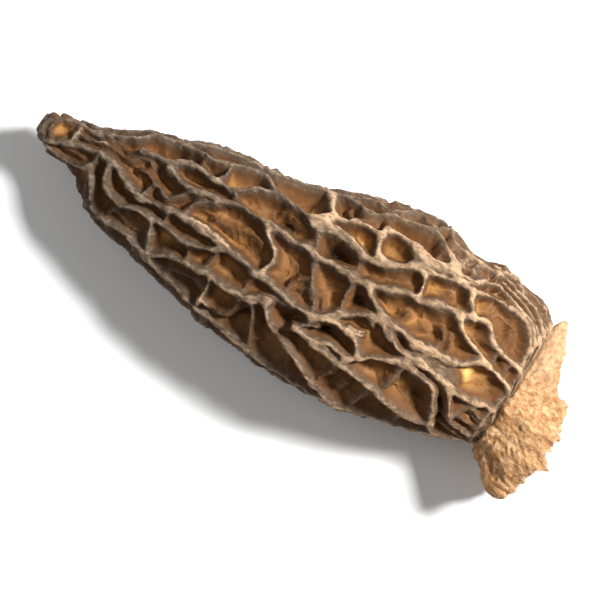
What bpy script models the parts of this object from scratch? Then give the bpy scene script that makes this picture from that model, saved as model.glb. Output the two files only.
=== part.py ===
"""A dried black morel lying on its side: one hollow fruit body, its cap covered by a raised net of ribs.

Lengths below are in millimetres. X runs along the cap from the nose (-X) to the torn stem (+X), Y across it
and Z up. Places in the net are (x, y) seen from above; the side that faces down is laid out by a rule.
"""

import math
import random

import bpy
import numpy as np

MM = 0.001

# Driving dimensions
NOSE_X = -29.1
NOSE_LENGTH = 2.6
MARGIN_X = 26.1
STEM_ROOT_X = 26.7
PIT_DEPTH = 2.2
NOSE_DEPTH_SHARE = 0.50
WALL = 1.0
STEM_WALL = 0.8
SECTION_POWER = 2.25

# Pits get shallower between these two places, down to this share of the depth
MARGIN_DEPTH_SHARE = 0.68
SHALLOWS_X = (16.0, 24.0)

# The hollow: where it ends under the nose, over what length it closes, and where it narrows into the stem
HOLLOW_NOSE_X = -20.0
HOLLOW_NOSE_LENGTH = 5.0
HOLLOW_NARROWS_X = 22.3
HOLLOW_MOUTH_X = 30.5

# Shape of a rib. Its crest is as wide as a share of its own half width and drops by a share of the height
# towards its edges; then its sides run out, further below a wide crest. A low rib has a rounder edge. The
# higher the corner power, the sharper the corners of the pits.
CREST_HALF = 0.24
CROWN_SHARE = 0.85
CROWN_DROP = 0.14
CROWN_CURVE = 1.3
CREST_ROUND = 0.05
LOW_RIB_ROUND = 0.8
SIDE_REACH = 0.9
SIDE_REACH_PER_HALF = 1.55
SIDE_CURVE = 2.0
CORNER_POWER = 3.2

# The ribs that run round the cap: how far from the nose and the margin they lie, and their height
NOSE_RIB = 0.5
MARGIN_RIB = 0.25
END_RIB_HEIGHT = 0.9

# Ribs drawn from above are kept this far in from the nose, and within this share of the half width
NOSE_EDGE = 0.15
SIDE_EDGE_SHARE = 0.985

# Broad dents of the drying cap: share of the size, waves round, waves along, start. None at the nose.
DENTS = [(0.020, 2, 0.21, 0.0), (0.012, 3, -0.33, 1.0)]
DENTS_FADE_X = (-24.0, -14.0)

# Lengthwise folds of the stem: depth, folds round, twist along it, start. The inside follows them in part.
STEM_FOLDS = [(0.28, 5, 0.0, 0.5), (0.20, 8, 0.35, 0.0)]
FOLD_INSIDE = 0.35

# Crests lower than this are worn flat where the morel lies
WORN_HEIGHT = 0.06

# Rows and columns of points before thinning, and the number of triangles kept
AROUND = 256
NOSE_ROWS = 16
CAP_ROWS = 236
STEM_ROWS = 22
HOLLOW_ROWS = 40
TRIANGLES = 11400
SEED = 7

# Skin
COLOUR = (0.20, 0.12, 0.07)
ROUGHNESS = 0.75
SHARP_ANGLE = 50

# Outline of the cap: x, highest y, lowest y, top z, bottom z. The belly dips under zero and is worn flat.
CAP_SECTIONS = [
    (-26.7, 1.8, -3.4, 7.9, 3.3),
    (-24.0, 2.5, -3.5, 8.4, 2.8),
    (-22.7, 3.1, -4.1, 9.0, 2.4),
    (-21.3, 4.1, -5.3, 9.7, 1.9),
    (-18.7, 5.6, -6.5, 10.8, 0.9),
    (-16.0, 6.4, -6.8, 11.7, 0.1),
    (-13.3, 7.9, -7.1, 12.5, -0.3),
    (-8.0, 9.1, -8.1, 13.8, -0.4),
    (-2.7, 10.1, -8.8, 14.8, -0.4),
    (0.0, 11.1, -8.9, 15.3, -0.4),
    (2.7, 12.5, -8.9, 15.7, -0.4),
    (8.0, 14.3, -8.5, 16.3, -0.4),
    (12.0, 14.9, -8.0, 16.4, -0.4),
    (16.0, 14.1, -6.9, 15.9, -0.4),
    (18.7, 14.6, -5.9, 15.2, -0.3),
    (21.3, 14.1, -4.9, 14.2, 0.0),
    (24.0, 13.7, -3.7, 12.8, 0.9),
    (26.1, 12.2, -2.7, 11.6, 2.1),
]

# The stub of the stem, in the same order
STEM_SECTIONS = [
    (26.1, 6.4, -2.6, 11.0, 2.2),
    (28.3, 6.6, -4.0, 11.1, 1.9),
    (30.4, 6.4, -5.6, 11.3, 1.5),
    (31.7, 6.1, -5.4, 11.3, 1.5),
    (34.0, 5.4, -4.6, 11.0, 1.7),
]

# The pointed flap beside the stem: x, how far it stands out
FLAP = [(26.1, 3.4), (26.9, 6.4), (27.7, 5.8), (28.3, 4.4), (29.1, 2.6), (30.4, 0.3), (31.0, 0.0)]
FLAP_ANGLE = 6.0
FLAP_SPREAD = 13.0

# The torn end of the stem: angle in degrees (0 at +Y, 90 on top), x of the edge
TORN_EDGE = [
    (0, 31.6), (25, 31.9), (50, 32.6), (70, 32.9), (84, 32.7), (97, 33.8), (108, 32.6), (140, 32.3),
    (165, 31.7), (185, 31.2), (215, 32.0), (245, 32.7), (262, 31.9), (290, 32.5), (320, 31.7), (345, 32.2),
]

# Net of the upper side. Each rib: height as a share of the pit depth, half width, points seen from above.
RIBS = [
    # the nose
    (1.00, 0.22, [(-25.5, 1.5), (-26.6, 1.4), (-27.6, 0.9), (-28.3, 0.2), (-28.7, -0.9), (-28.4, -1.8),
                  (-27.5, -2.6), (-26.2, -3.0), (-24.8, -3.0), (-23.4, -2.7), (-22.4, -2.2)]),
    (1.00, 0.24, [(-26.6, 1.3), (-25.5, 1.5), (-24.4, 1.4), (-23.4, 1.7), (-22.4, 2.3)]),
    (1.00, 0.20, [(-25.5, 2.1), (-24.0, 2.2), (-22.9, 2.7), (-22.0, 3.2), (-21.0, 4.0), (-20.0, 4.6),
                  (-19.0, 5.1), (-18.0, 5.3)]),
    # outermost ribs of the +Y side
    (1.00, 0.24, [(-16.0, 5.9), (-14.6, 6.7), (-13.4, 7.3), (-12.2, 7.8), (-10.7, 8.1), (-9.0, 8.4),
                  (-7.5, 8.7), (-5.8, 8.9), (-4.4, 9.3), (-3.0, 9.7), (-1.6, 10.1), (-0.3, 10.5), (1.0, 10.9),
                  (2.0, 11.1), (2.8, 11.2), (3.4, 11.0), (4.5, 11.5), (5.3, 11.9), (6.6, 12.3), (8.0, 12.8),
                  (9.4, 13.1), (10.9, 13.4), (12.0, 12.9), (13.0, 12.3), (13.7, 11.6), (14.5, 11.0),
                  (15.4, 10.4)]),
    (0.95, 0.24, [(0.6, 11.0), (2.0, 11.8), (3.2, 12.3), (5.0, 12.7), (6.3, 13.0), (7.1, 13.6), (8.0, 14.0),
                  (8.8, 14.1), (9.6, 13.8), (10.3, 13.5), (11.0, 14.2), (12.0, 14.5), (12.7, 13.8),
                  (14.2, 13.4), (16.0, 13.3)]),
    # long ribs from nose to margin, from the +Y edge across
    (1.00, 0.24, [(-23.4, 1.9), (-22.4, 2.4), (-21.3, 2.8), (-20.3, 3.3), (-19.6, 4.1), (-19.0, 4.7),
                  (-18.2, 5.2), (-17.0, 5.5), (-16.0, 5.9), (-14.8, 6.1), (-13.3, 6.2), (-12.0, 6.4),
                  (-11.0, 6.8), (-10.0, 7.2), (-9.0, 7.7), (-8.0, 8.1), (-7.0, 8.2), (-6.0, 7.8), (-4.8, 7.3),
                  (-3.0, 7.1), (-1.4, 7.0), (0.0, 6.9)]),
    (1.00, 0.40, [(0.0, 6.9), (1.2, 7.0), (2.2, 7.2), (3.2, 7.4), (4.2, 7.2), (5.2, 6.9), (6.4, 6.8),
                  (7.5, 7.0), (8.3, 7.4), (9.2, 8.0), (10.2, 8.6), (11.2, 9.1), (12.2, 9.3)]),
    (1.00, 0.26, [(12.2, 9.3), (13.4, 9.6), (14.6, 10.1), (16.0, 10.3), (17.0, 10.4), (18.0, 10.7),
                  (19.2, 10.9), (20.6, 11.1), (22.0, 11.2), (23.2, 11.0), (24.3, 10.3), (25.1, 9.3),
                  (25.6, 8.3), (26.0, 7.2)]),
    (1.00, 0.26, [(-18.7, 2.9), (-17.6, 3.2), (-16.4, 3.2), (-15.5, 3.7), (-14.6, 4.3), (-13.4, 4.7),
                  (-12.0, 4.5), (-10.6, 4.4), (-9.4, 4.6), (-8.4, 5.1), (-7.5, 5.9), (-6.5, 6.6), (-5.5, 7.0),
                  (-4.6, 7.1)]),
    (1.00, 0.28, [(-15.6, 2.9), (-14.3, 2.4), (-13.0, 2.3), (-12.0, 2.5), (-11.0, 2.7), (-10.0, 2.9),
                  (-9.0, 3.2), (-8.0, 3.6), (-7.0, 3.9), (-5.8, 3.9), (-4.4, 4.0), (-3.0, 4.0)]),
    (1.00, 0.44, [(-3.0, 4.0), (-1.4, 4.1), (0.4, 4.1), (2.2, 4.2), (4.0, 4.3), (5.8, 4.3), (7.2, 4.4),
                  (8.3, 4.7), (9.4, 5.3), (10.6, 5.8), (11.8, 6.2), (13.2, 6.4), (14.4, 6.7), (15.4, 7.2),
                  (16.4, 7.7), (17.6, 7.8), (18.9, 8.0)]),
    (1.00, 0.34, [(8.0, 4.6), (8.8, 4.0), (9.8, 3.4), (11.0, 3.0), (12.2, 2.7), (13.6, 2.6), (15.2, 2.4)]),
    (1.00, 0.34, [(15.2, 2.4), (16.6, 2.6), (18.4, 2.9), (19.9, 3.0), (20.7, 3.4), (21.3, 4.1), (22.0, 4.7),
                  (22.7, 4.9)]),
    (1.00, 0.28, [(7.2, 0.4), (8.0, 1.0), (9.0, 1.6), (10.2, 2.1), (11.2, 2.2), (12.2, 1.8), (13.2, 1.3),
                  (14.2, 0.9), (15.4, 0.9), (16.8, 1.1)]),
    (1.00, 0.30, [(16.8, 1.1), (18.2, 1.0), (19.6, 0.9), (21.2, 0.7), (22.8, 0.6), (24.0, 1.0), (25.2, 1.5),
                  (26.1, 1.7)]),
    (1.00, 0.28, [(-27.2, -2.1), (-26.0, -1.6), (-25.0, -1.0), (-24.0, -0.5), (-23.0, -0.2), (-22.0, 0.0),
                  (-21.0, 0.0), (-20.0, -0.2), (-19.0, -0.8), (-18.0, -1.1), (-17.0, -1.5), (-16.2, -1.6),
                  (-15.0, -1.3), (-14.0, -0.9), (-13.0, -0.8)]),
    (1.00, 0.38, [(-13.0, -0.8), (-11.6, -0.6), (-10.0, -0.5), (-8.4, -0.6), (-6.6, -0.7), (-5.0, -0.8),
                  (-3.4, -0.7), (-2.0, -0.8), (-0.6, -1.1), (1.0, -1.3), (2.6, -1.4), (4.2, -1.4),
                  (5.2, -1.3)]),
    (1.00, 0.34, [(5.2, -1.3), (6.2, -1.0), (7.2, -0.6), (8.2, -0.5), (9.2, -0.7), (10.1, -1.0), (10.8, -1.5),
                  (11.3, -2.1)]),
    (1.00, 0.30, [(5.8, -1.0), (6.5, -0.3), (7.2, 0.4)]),
    (1.00, 0.28, [(10.4, -3.2), (11.3, -2.3), (12.2, -1.6), (13.2, -1.0), (14.2, -0.4), (15.2, 0.0),
                  (16.4, 0.1), (17.8, -0.1), (19.0, -0.2), (19.9, -0.6), (20.3, -1.4), (20.8, -2.2),
                  (21.2, -3.0), (21.5, -3.7), (22.3, -4.5)]),
    (1.00, 0.28, [(-20.4, -0.3), (-20.5, -1.0), (-20.3, -1.8), (-19.9, -2.5), (-19.4, -3.0), (-18.5, -3.2),
                  (-17.7, -3.3), (-16.8, -3.1), (-15.8, -2.8), (-14.8, -2.6), (-13.8, -2.7), (-12.8, -2.6),
                  (-11.4, -2.5), (-10.0, -2.7), (-9.0, -2.5), (-8.0, -2.1), (-7.0, -1.7), (-6.0, -1.0)]),
    (1.00, 0.26, [(4.5, -3.3), (5.1, -3.5), (6.0, -3.5), (7.0, -3.3), (8.0, -2.9), (9.0, -2.8), (10.0, -2.9),
                  (10.7, -3.1)]),
    (1.00, 0.26, [(4.5, -3.3), (6.0, -3.7), (8.0, -3.8), (10.0, -3.9), (12.0, -4.0), (14.0, -4.0),
                  (15.6, -4.2), (17.0, -4.5), (18.6, -4.6), (20.0, -4.3), (20.9, -3.9), (21.5, -3.6)]),
    (1.00, 0.36, [(-12.4, -6.3), (-11.7, -5.8), (-11.0, -5.3), (-10.0, -4.8), (-9.0, -4.5), (-8.0, -4.2),
                  (-6.8, -4.1), (-5.4, -4.0), (-4.0, -4.1), (-2.8, -4.1), (-1.8, -3.8), (-0.9, -3.3),
                  (0.0, -2.8), (0.5, -2.7)]),
    (1.00, 0.30, [(0.3, -2.9), (1.0, -3.6), (1.8, -4.3), (2.5, -4.9), (3.4, -5.2), (4.6, -5.5), (6.0, -6.0),
                  (7.2, -6.5), (8.6, -7.1), (10.2, -7.5), (12.0, -7.7), (13.5, -7.6)]),
    (1.00, 0.26, [(-22.4, -2.1), (-21.7, -2.6), (-21.1, -3.4), (-20.5, -4.4), (-19.8, -5.3), (-19.0, -5.7),
                  (-17.8, -5.8), (-16.4, -5.6), (-15.0, -5.6), (-13.8, -5.8), (-12.2, -6.3)]),
    (1.00, 0.34, [(-12.2, -6.3), (-11.0, -6.6), (-9.4, -6.9), (-7.5, -7.2), (-5.5, -7.5), (-3.7, -7.8),
                  (-2.0, -8.0), (0.0, -8.2), (3.7, -8.4), (8.0, -8.2), (12.0, -7.8), (16.0, -6.8),
                  (20.0, -5.5), (24.0, -3.7), (26.1, -2.7)]),
    (0.85, 0.22, [(-22.4, -2.1), (-22.4, -1.2), (-22.1, -0.2)]),
    # cross ribs between the long ones, from the +Y edge across
    (0.85, 0.18, [(-10.2, 7.0), (-10.2, 6.1), (-10.4, 5.3), (-10.6, 4.5)]),
    (0.60, 0.20, [(-13.2, 6.1), (-13.2, 5.4), (-12.8, 4.7)]),
    (1.00, 0.42, [(-0.4, 10.3), (0.2, 9.6), (0.8, 8.8), (0.9, 8.2), (0.6, 7.5), (0.2, 6.9)]),
    (0.98, 0.28, [(0.8, 8.2), (0.0, 7.6), (-0.8, 7.1)]),
    (0.95, 0.22, [(0.9, 8.6), (1.6, 8.6), (2.3, 8.9), (3.0, 9.4), (4.0, 9.7), (5.0, 9.7), (6.3, 9.6)]),
    (0.95, 0.30, [(6.3, 10.5), (6.2, 9.9), (6.4, 9.2), (6.7, 8.5), (7.1, 7.9), (7.8, 7.4)]),
    (0.95, 0.24, [(6.3, 10.5), (7.4, 10.8), (8.6, 10.9), (9.8, 10.9), (11.0, 10.8), (12.4, 10.7),
                  (13.8, 10.9), (14.7, 10.9)]),
    (0.72, 0.24, [(6.3, 10.5), (6.1, 11.2), (5.5, 11.9)]),
    (0.67, 0.22, [(9.9, 10.6), (10.3, 9.9), (10.4, 9.3), (10.3, 8.8)]),
    (0.72, 0.24, [(-15.0, 4.0), (-15.4, 3.2), (-14.9, 2.6)]),
    (0.77, 0.26, [(-8.5, 5.0), (-8.0, 4.4), (-7.8, 3.8)]),
    (0.77, 0.24, [(0.7, 6.7), (1.1, 5.9), (1.4, 5.1), (1.8, 4.4)]),
    (0.67, 0.24, [(5.4, 6.7), (5.8, 6.0), (6.1, 5.3), (6.3, 4.6)]),
    (0.95, 0.28, [(11.9, 9.2), (12.3, 8.5), (12.6, 7.8), (12.8, 7.0), (12.7, 6.4)]),
    (1.00, 0.30, [(17.2, 10.4), (17.7, 9.6), (18.3, 8.8), (18.9, 8.0)]),
    (1.00, 0.26, [(18.9, 8.0), (19.6, 8.3), (20.3, 8.5), (20.9, 8.2), (21.4, 7.6), (22.1, 7.0), (23.0, 6.7),
                  (24.3, 6.6), (25.9, 6.3)]),
    (1.00, 0.20, [(17.2, 7.7), (17.8, 7.0), (18.3, 6.4), (19.0, 6.1), (20.0, 5.8), (21.0, 5.5), (22.0, 5.2),
                  (22.6, 4.9), (23.5, 4.8), (24.5, 4.6), (25.3, 4.4), (26.0, 3.8)]),
    (0.77, 0.16, [(24.6, 6.5), (24.5, 5.7), (24.6, 4.7)]),
    (0.84, 0.26, [(-10.8, -0.5), (-11.4, -0.1), (-11.6, 0.6), (-11.3, 1.3), (-10.7, 1.8), (-10.0, 2.1),
                  (-9.0, 2.7), (-8.3, 3.4)]),
    (0.82, 0.22, [(-16.2, -1.5), (-16.3, -0.5), (-15.9, 0.3), (-15.2, 0.6), (-14.5, 0.2), (-13.9, 0.1),
                  (-13.4, 0.4), (-13.0, 1.0), (-12.5, 1.7), (-11.9, 2.2), (-11.2, 2.6)]),
    (0.72, 0.20, [(-18.0, 0.7), (-17.3, 0.9), (-16.6, 0.9), (-15.9, 0.5)]),
    (0.95, 0.22, [(-3.6, 3.7), (-2.8, 2.8), (-2.0, 2.2), (-1.5, 1.5), (-1.3, 0.9), (-1.5, -0.3)]),
    (0.82, 0.28, [(1.9, 3.8), (2.4, 2.8), (2.9, 2.0), (3.4, 1.3), (4.0, 0.6), (4.8, -0.3), (5.2, -0.9)]),
    (0.77, 0.20, [(6.6, 4.0), (6.6, 3.0), (6.6, 2.2), (6.9, 1.5), (7.2, 0.8)]),
    (0.77, 0.30, [(15.8, 0.1), (15.9, -1.0), (15.8, -2.2), (15.7, -3.2), (15.5, -4.1)]),
    (0.72, 0.22, [(-12.8, -0.8), (-12.7, -1.6), (-12.9, -2.5)]),
    (0.72, 0.30, [(-17.7, -3.3), (-17.9, -4.4), (-18.1, -5.7)]),
    (0.90, 0.36, [(-13.8, -2.8), (-13.4, -3.8), (-13.0, -4.8), (-12.4, -5.8)]),
    (0.67, 0.24, [(-9.3, -2.5), (-9.1, -3.2), (-8.8, -3.8), (-8.3, -4.2)]),
    (0.72, 0.24, [(-6.6, -1.5), (-6.4, -2.5), (-6.5, -3.4), (-6.7, -4.1)]),
    (0.62, 0.24, [(-2.1, -0.9), (-2.0, -2.0), (-2.2, -3.0), (-2.4, -4.0)]),
    (0.92, 0.15, [(-5.5, -4.1), (-5.3, -4.8), (-5.2, -5.8), (-5.1, -6.9), (-5.0, -7.6)]),
    (0.80, 0.18, [(-0.7, -3.5), (-0.4, -4.4), (0.2, -5.1), (0.6, -6.2), (1.2, -7.2), (1.7, -8.3)]),
    (0.75, 0.26, [(0.4, -2.7), (1.2, -2.2), (2.0, -1.9), (2.8, -1.6)]),
    (0.77, 0.24, [(4.6, -3.3), (5.0, -2.5), (5.4, -1.5)]),
    (0.67, 0.26, [(1.9, -4.4), (3.0, -4.5), (4.0, -4.1), (4.6, -3.5)]),
    (0.72, 0.24, [(9.9, -3.9), (9.9, -5.2), (9.4, -6.3), (9.0, -7.2)]),
    (0.67, 0.24, [(14.2, -4.1), (14.2, -5.6), (13.6, -7.3)]),
    (0.67, 0.24, [(18.4, -4.7), (18.6, -5.3), (18.4, -6.0)]),
    (1.00, 0.22, [(21.0, 0.5), (21.6, -0.3), (22.2, -1.2), (22.8, -2.0), (23.8, -2.4), (25.3, -2.4)]),
    (0.77, 0.22, [(22.6, -1.8), (23.4, -0.8), (24.1, 0.2), (24.4, 1.0)]),
    # fine ribs that curve round the +Y shoulder down to the stem
    (0.95, 0.18, [(17.0, 11.4), (18.0, 12.2), (19.0, 12.4), (20.2, 12.2), (21.4, 11.9), (22.6, 11.6),
                  (23.8, 11.3), (24.7, 10.7), (25.5, 9.7), (26.1, 8.4)]),
    (0.95, 0.14, [(19.4, 12.9), (21.0, 12.7), (22.2, 12.4), (23.4, 12.0), (24.4, 11.5), (25.3, 10.8),
                  (26.1, 9.7)]),
    (0.95, 0.14, [(16.0, 13.3), (17.6, 13.6), (19.2, 13.6), (21.0, 13.3), (22.6, 13.0), (24.0, 12.6),
                  (25.1, 11.9), (26.1, 10.8)]),
    (0.95, 0.14, [(17.6, 13.9), (19.2, 14.3), (21.0, 14.2), (22.8, 13.8), (24.4, 13.3), (25.5, 12.6),
                  (26.1, 11.8)]),
]

# Rule for the side that faces down: angles in degrees (180 at -Y, 270 straight down), where each rib starts
UNDER_RIBS = [
    (188, -27.0), (211, -17.5), (235, -28.4), (258, -19.0), (281, -28.4), (304, -17.0), (327, -28.4),
    (350, -21.0),
]
UNDER_WOBBLE = 4.5
UNDER_JOIN_LENGTH = 5.0
UNDER_RUNG_GAP = (3.4, 6.2)
UNDER_RUNG_SLANT = 2.0
UNDER_RUNG_HEIGHT = (0.7, 0.95)
UNDER_RUNG_WIDTH = (0.8, 1.5)
UNDER_EDGE_START = -23.0
EDGE_SEARCH = 0.7


def clear_scene():
    for obj in list(bpy.data.objects):
        bpy.data.objects.remove(obj, do_unlink=True)


def smoothstep(x, low, high):
    t = np.clip((x - low) / (high - low), 0.0, 1.0)
    return t * t * (3.0 - 2.0 * t)


def through(points, x, column=1):
    """A smooth curve through the rows of a table, read at x."""
    table = np.array(points, float)
    known, value = table[:, 0], table[:, column]
    slope = np.gradient(value, known)
    i = np.clip(np.searchsorted(known, x) - 1, 0, len(known) - 2)
    step = known[i + 1] - known[i]
    t = np.clip((x - known[i]) / step, 0.0, 1.0)
    return (
        (2 * t**3 - 3 * t**2 + 1) * value[i]
        + (t**3 - 2 * t**2 + t) * step * slope[i]
        + (3 * t**2 - 2 * t**3) * value[i + 1]
        + (t**3 - t**2) * step * slope[i + 1]
    )


def section(table, x):
    """Centre and half sizes of the cross section at x: (y, z, half width, half height)."""
    high, low, top, bottom = (through(table, x, column) for column in (1, 2, 3, 4))
    return (high + low) / 2, (top + bottom) / 2, (high - low) / 2, (top - bottom) / 2


def nose_share(x):
    """1 behind the nose, falling to 0 at its end as on a round tip."""
    t = np.clip((x - NOSE_X) / NOSE_LENGTH, 0.0, 1.0)
    return np.sqrt(np.clip(1.0 - (1.0 - t) ** 2, 0.0, 1.0))


def oval(x, y, z, half_width, half_height, angle):
    """Points at x on a slightly squared oval."""
    across, up = np.cos(angle), np.sin(angle)
    exponent = 2.0 / SECTION_POWER
    across = np.sign(across) * np.abs(across) ** exponent
    up = np.sign(up) * np.abs(up) ** exponent
    return np.stack([x + 0 * angle, y + half_width * across, z + half_height * up], axis=-1)


def cap_section(x):
    y, z, half_width, half_height = section(CAP_SECTIONS, x)
    share = nose_share(x)
    return y, z, half_width * share, half_height * share


def pit_depth(x):
    """How far pit floors lie under the crests: less in the slim nose and near the margin."""
    depth = np.minimum(PIT_DEPTH, NOSE_DEPTH_SHARE * cap_section(x)[3])
    return depth * (1.0 - (1.0 - MARGIN_DEPTH_SHARE) * smoothstep(x, *SHALLOWS_X))


def cap_skin(x, angle):
    """Points of the surface that the rib crests lie on."""
    y, z, half_width, half_height = cap_section(x)
    dent = sum(size * np.sin(waves * angle + along * x + start) for size, waves, along, start in DENTS)
    reach = 1.0 + dent * smoothstep(x, *DENTS_FADE_X) * np.sin(angle).clip(-1, 0) ** 2
    return oval(x, y, z, half_width * reach, half_height * reach, angle)


def on_top(points):
    """Lifts points seen from above on to the crest surface."""
    x, y = np.array(points, float).T
    middle, z, half_width, half_height = cap_section(np.maximum(x, NOSE_X + NOSE_EDGE))
    across = np.clip(np.abs(y - middle) / half_width, 0.0, SIDE_EDGE_SHARE)
    rise = (1.0 - across**SECTION_POWER) ** (1.0 / SECTION_POWER)
    side = np.sign(y - middle) * across * half_width
    return np.stack([x, middle + side, z + half_height * rise], axis=-1)


def smooth_line(points, rounds=2):
    """Rounds the corners of an open line and keeps its ends."""
    for _ in range(rounds):
        quarter = 0.75 * points[:-1] + 0.25 * points[1:]
        three_quarters = 0.25 * points[:-1] + 0.75 * points[1:]
        inner = np.stack([quarter, three_quarters], axis=1).reshape(-1, points.shape[1])
        points = np.concatenate([points[:1], inner, points[-1:]])
    return points


def edge_angles(stations, side):
    """The angles of the outermost ribs drawn from above, on the -Y side (-1) or the +Y side (1)."""
    x, y = np.concatenate([smooth_line(np.array(rib[-1], float)) for rib in RIBS]).T
    middle, _, half_width, _ = cap_section(stations)
    outermost = np.array([(side * y[np.abs(x - station) < EDGE_SEARCH]).max() for station in stations])
    across = np.clip((outermost - side * middle) / half_width, 0.0, SIDE_EDGE_SHARE)
    rise = np.degrees(np.arccos(across ** (SECTION_POWER / 2)))
    return 180.0 - rise if side < 0 else 360.0 + rise


def under_net(draw):
    """The ribs and cross ribs of the side that faces down: (height share, half width, points in space)."""
    stations = np.linspace(NOSE_X + 0.6, MARGIN_X - 0.2, 60)
    angles = []
    for mean, _ in UNDER_RIBS:
        long_wave, short_wave = draw.uniform(0, 2 * math.pi), draw.uniform(0, 2 * math.pi)
        wobble = np.sin(0.27 * stations + long_wave) + 0.6 * np.sin(0.71 * stations + short_wave)
        angles.append(mean + UNDER_WOBBLE * wobble)
    drawn = []
    for i, (_, start) in enumerate(UNDER_RIBS):
        parent = i - 1 if i % 2 else i
        apart = smoothstep(stations, start, start + UNDER_JOIN_LENGTH)
        angle = angles[parent] + (angles[i] - angles[parent]) * apart if i % 2 else angles[i]
        kept = stations > start
        drawn.append((1.0, CREST_HALF, cap_skin(stations[kept], np.radians(angle[kept]))))
        angles[i] = angle
    borders = [edge_angles(stations, -1), *angles, edge_angles(stations, 1)]
    starts = [UNDER_EDGE_START, *(start + 3.0 for _, start in UNDER_RIBS), UNDER_EDGE_START]
    for i, (one, other) in enumerate(zip(borders, borders[1:])):
        x = max(starts[i], starts[i + 1]) + draw.uniform(0.0, 3.0)
        while x < MARGIN_X - 2.0:
            slant = draw.uniform(-UNDER_RUNG_SLANT, UNDER_RUNG_SLANT)
            across = np.linspace(0.0, 1.0, 5)
            at = x + slant * (across - 0.5) + draw.uniform(-0.5, 0.5) * np.sin(math.pi * across)
            angle = np.interp(at, stations, one) * (1 - across) + np.interp(at, stations, other) * across
            height = draw.uniform(*UNDER_RUNG_HEIGHT)
            half = CREST_HALF * draw.uniform(*UNDER_RUNG_WIDTH)
            drawn.append((height, half, cap_skin(at, np.radians(angle))))
            x += draw.uniform(*UNDER_RUNG_GAP)
    return drawn


def end_ribs():
    """The two ribs that run round the cap, one at its nose and one at its margin."""
    ring = np.radians(np.linspace(0, 360, 73))
    places = (NOSE_X + NOSE_RIB, MARGIN_X - MARGIN_RIB)
    return [(END_RIB_HEIGHT, CREST_HALF, cap_skin(np.full(len(ring), x), ring)) for x in places]


def net():
    """Every rib as (height share, half width, points in space)."""
    draw = random.Random(SEED)
    lines = [(height, half, on_top(smooth_line(np.array(points, float)))) for height, half, points in RIBS]
    lines += [(height, half, smooth_line(points, 1)) for height, half, points in under_net(draw)]
    return lines + end_ribs()


def distance_to(line, points):
    """Distance from each point to an open line of segments."""
    nearest = np.full(len(points), np.inf)
    for start, end in zip(line, line[1:]):
        along = end - start
        share = np.clip((points - start) @ along / max(along @ along, 1e-9), 0.0, 1.0)
        gap = np.linalg.norm(points - start - share[:, None] * along, axis=1)
        nearest = np.minimum(nearest, gap)
    return nearest


def rib_profile(gap, height, half):
    """How high a rib stands at a distance from its line: a sloping crest, then sides that run out."""
    wide = CROWN_SHARE * half
    crown = 1.0 - CROWN_DROP * np.clip(gap / wide, 0.0, 1.0) ** CROWN_CURVE
    edge = CREST_ROUND + LOW_RIB_ROUND * (1.0 - height)
    beside = np.hypot(np.maximum(gap - wide, 0.0), edge) - edge
    fall = np.clip(beside / (SIDE_REACH + SIDE_REACH_PER_HALF * half), 0.0, 1.0)
    return height * crown * (1.0 - fall) ** SIDE_CURVE


def crest_share(points, lines):
    """1 on the crest of a rib, 0 on the floor of a pit. Ribs run into each other where they meet."""
    total = np.zeros(len(points))
    for height, half, line in lines:
        margin = SIDE_REACH + (SIDE_REACH_PER_HALF + CROWN_SHARE) * half + LOW_RIB_ROUND
        low, high = line.min(axis=0) - margin, line.max(axis=0) + margin
        near = np.flatnonzero(((points > low) & (points < high)).all(axis=1))
        if len(near):
            total[near] += rib_profile(distance_to(line, points[near]), height, half) ** CORNER_POWER
    return np.minimum(total ** (1.0 / CORNER_POWER), 1.0)


def row_normals(grid):
    """Outward normals of a grid whose rows run nose to stem and whose columns run round."""
    along = np.gradient(grid, axis=0)
    around = np.roll(grid, -1, axis=1) - np.roll(grid, 1, axis=1)
    normal = np.cross(around, along)
    return normal / np.maximum(np.linalg.norm(normal, axis=2, keepdims=True), 1e-9)


def cap_rows(angle, lines):
    bend = np.linspace(0.12, math.pi / 2, NOSE_ROWS)
    nose = NOSE_X + NOSE_LENGTH * (1 - np.cos(bend))
    rows = np.concatenate([nose, np.linspace(nose[-1], MARGIN_X, CAP_ROWS)[1:]])
    grid = np.stack([cap_skin(np.full(len(angle), x), angle) for x in rows])
    share = crest_share(grid.reshape(-1, 3), lines).reshape(grid.shape[:2])
    sunk = pit_depth(rows)[:, None] * (1.0 - share)
    return grid - row_normals(grid) * sunk[..., None]


def stem_point(x, angle, inward=0.0):
    """A point on the stem, with the flap at its side and soft folds along it."""
    y, z, half_width, half_height = section(STEM_SECTIONS, x)
    turned = np.degrees(np.arctan2(np.sin(angle), np.cos(angle)))
    flap = through(FLAP, np.clip(x, FLAP[0][0], FLAP[-1][0]))
    flap = flap * np.exp(-(((turned - FLAP_ANGLE) / FLAP_SPREAD) ** 2))
    fold = sum(
        depth * np.sin(count * angle + twist * x + start) for depth, count, twist, start in STEM_FOLDS
    )
    if inward:
        flap, fold = 0.0, FOLD_INSIDE * fold
    out = fold - inward
    return oval(x, y, z, half_width + out + flap, half_height + out + 0.12 * flap, angle)


def torn_edge(angle):
    turned = np.degrees(angle) % 360
    table = np.array(TORN_EDGE, float)
    return np.interp(turned, table[:, 0], table[:, 1], period=360)


def stem_rows(angle):
    """From the margin in to the root of the stem, along the stem and over its torn edge."""
    margin = cap_skin(np.full(len(angle), MARGIN_X), angle)
    root = stem_point(np.full(len(angle), STEM_ROOT_X), angle)
    rows = [margin + (root - margin) * share for share in (0.35, 0.7)]
    end = torn_edge(angle)
    for share in np.linspace(0.0, 1.0, STEM_ROWS):
        rows.append(stem_point(STEM_ROOT_X + (end - STEM_ROOT_X) * share, angle))
    rows.append(stem_point(end + 0.12, angle, 0.30))
    rows.append(stem_point(end + 0.05, angle, STEM_WALL - 0.15))
    return rows


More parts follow.
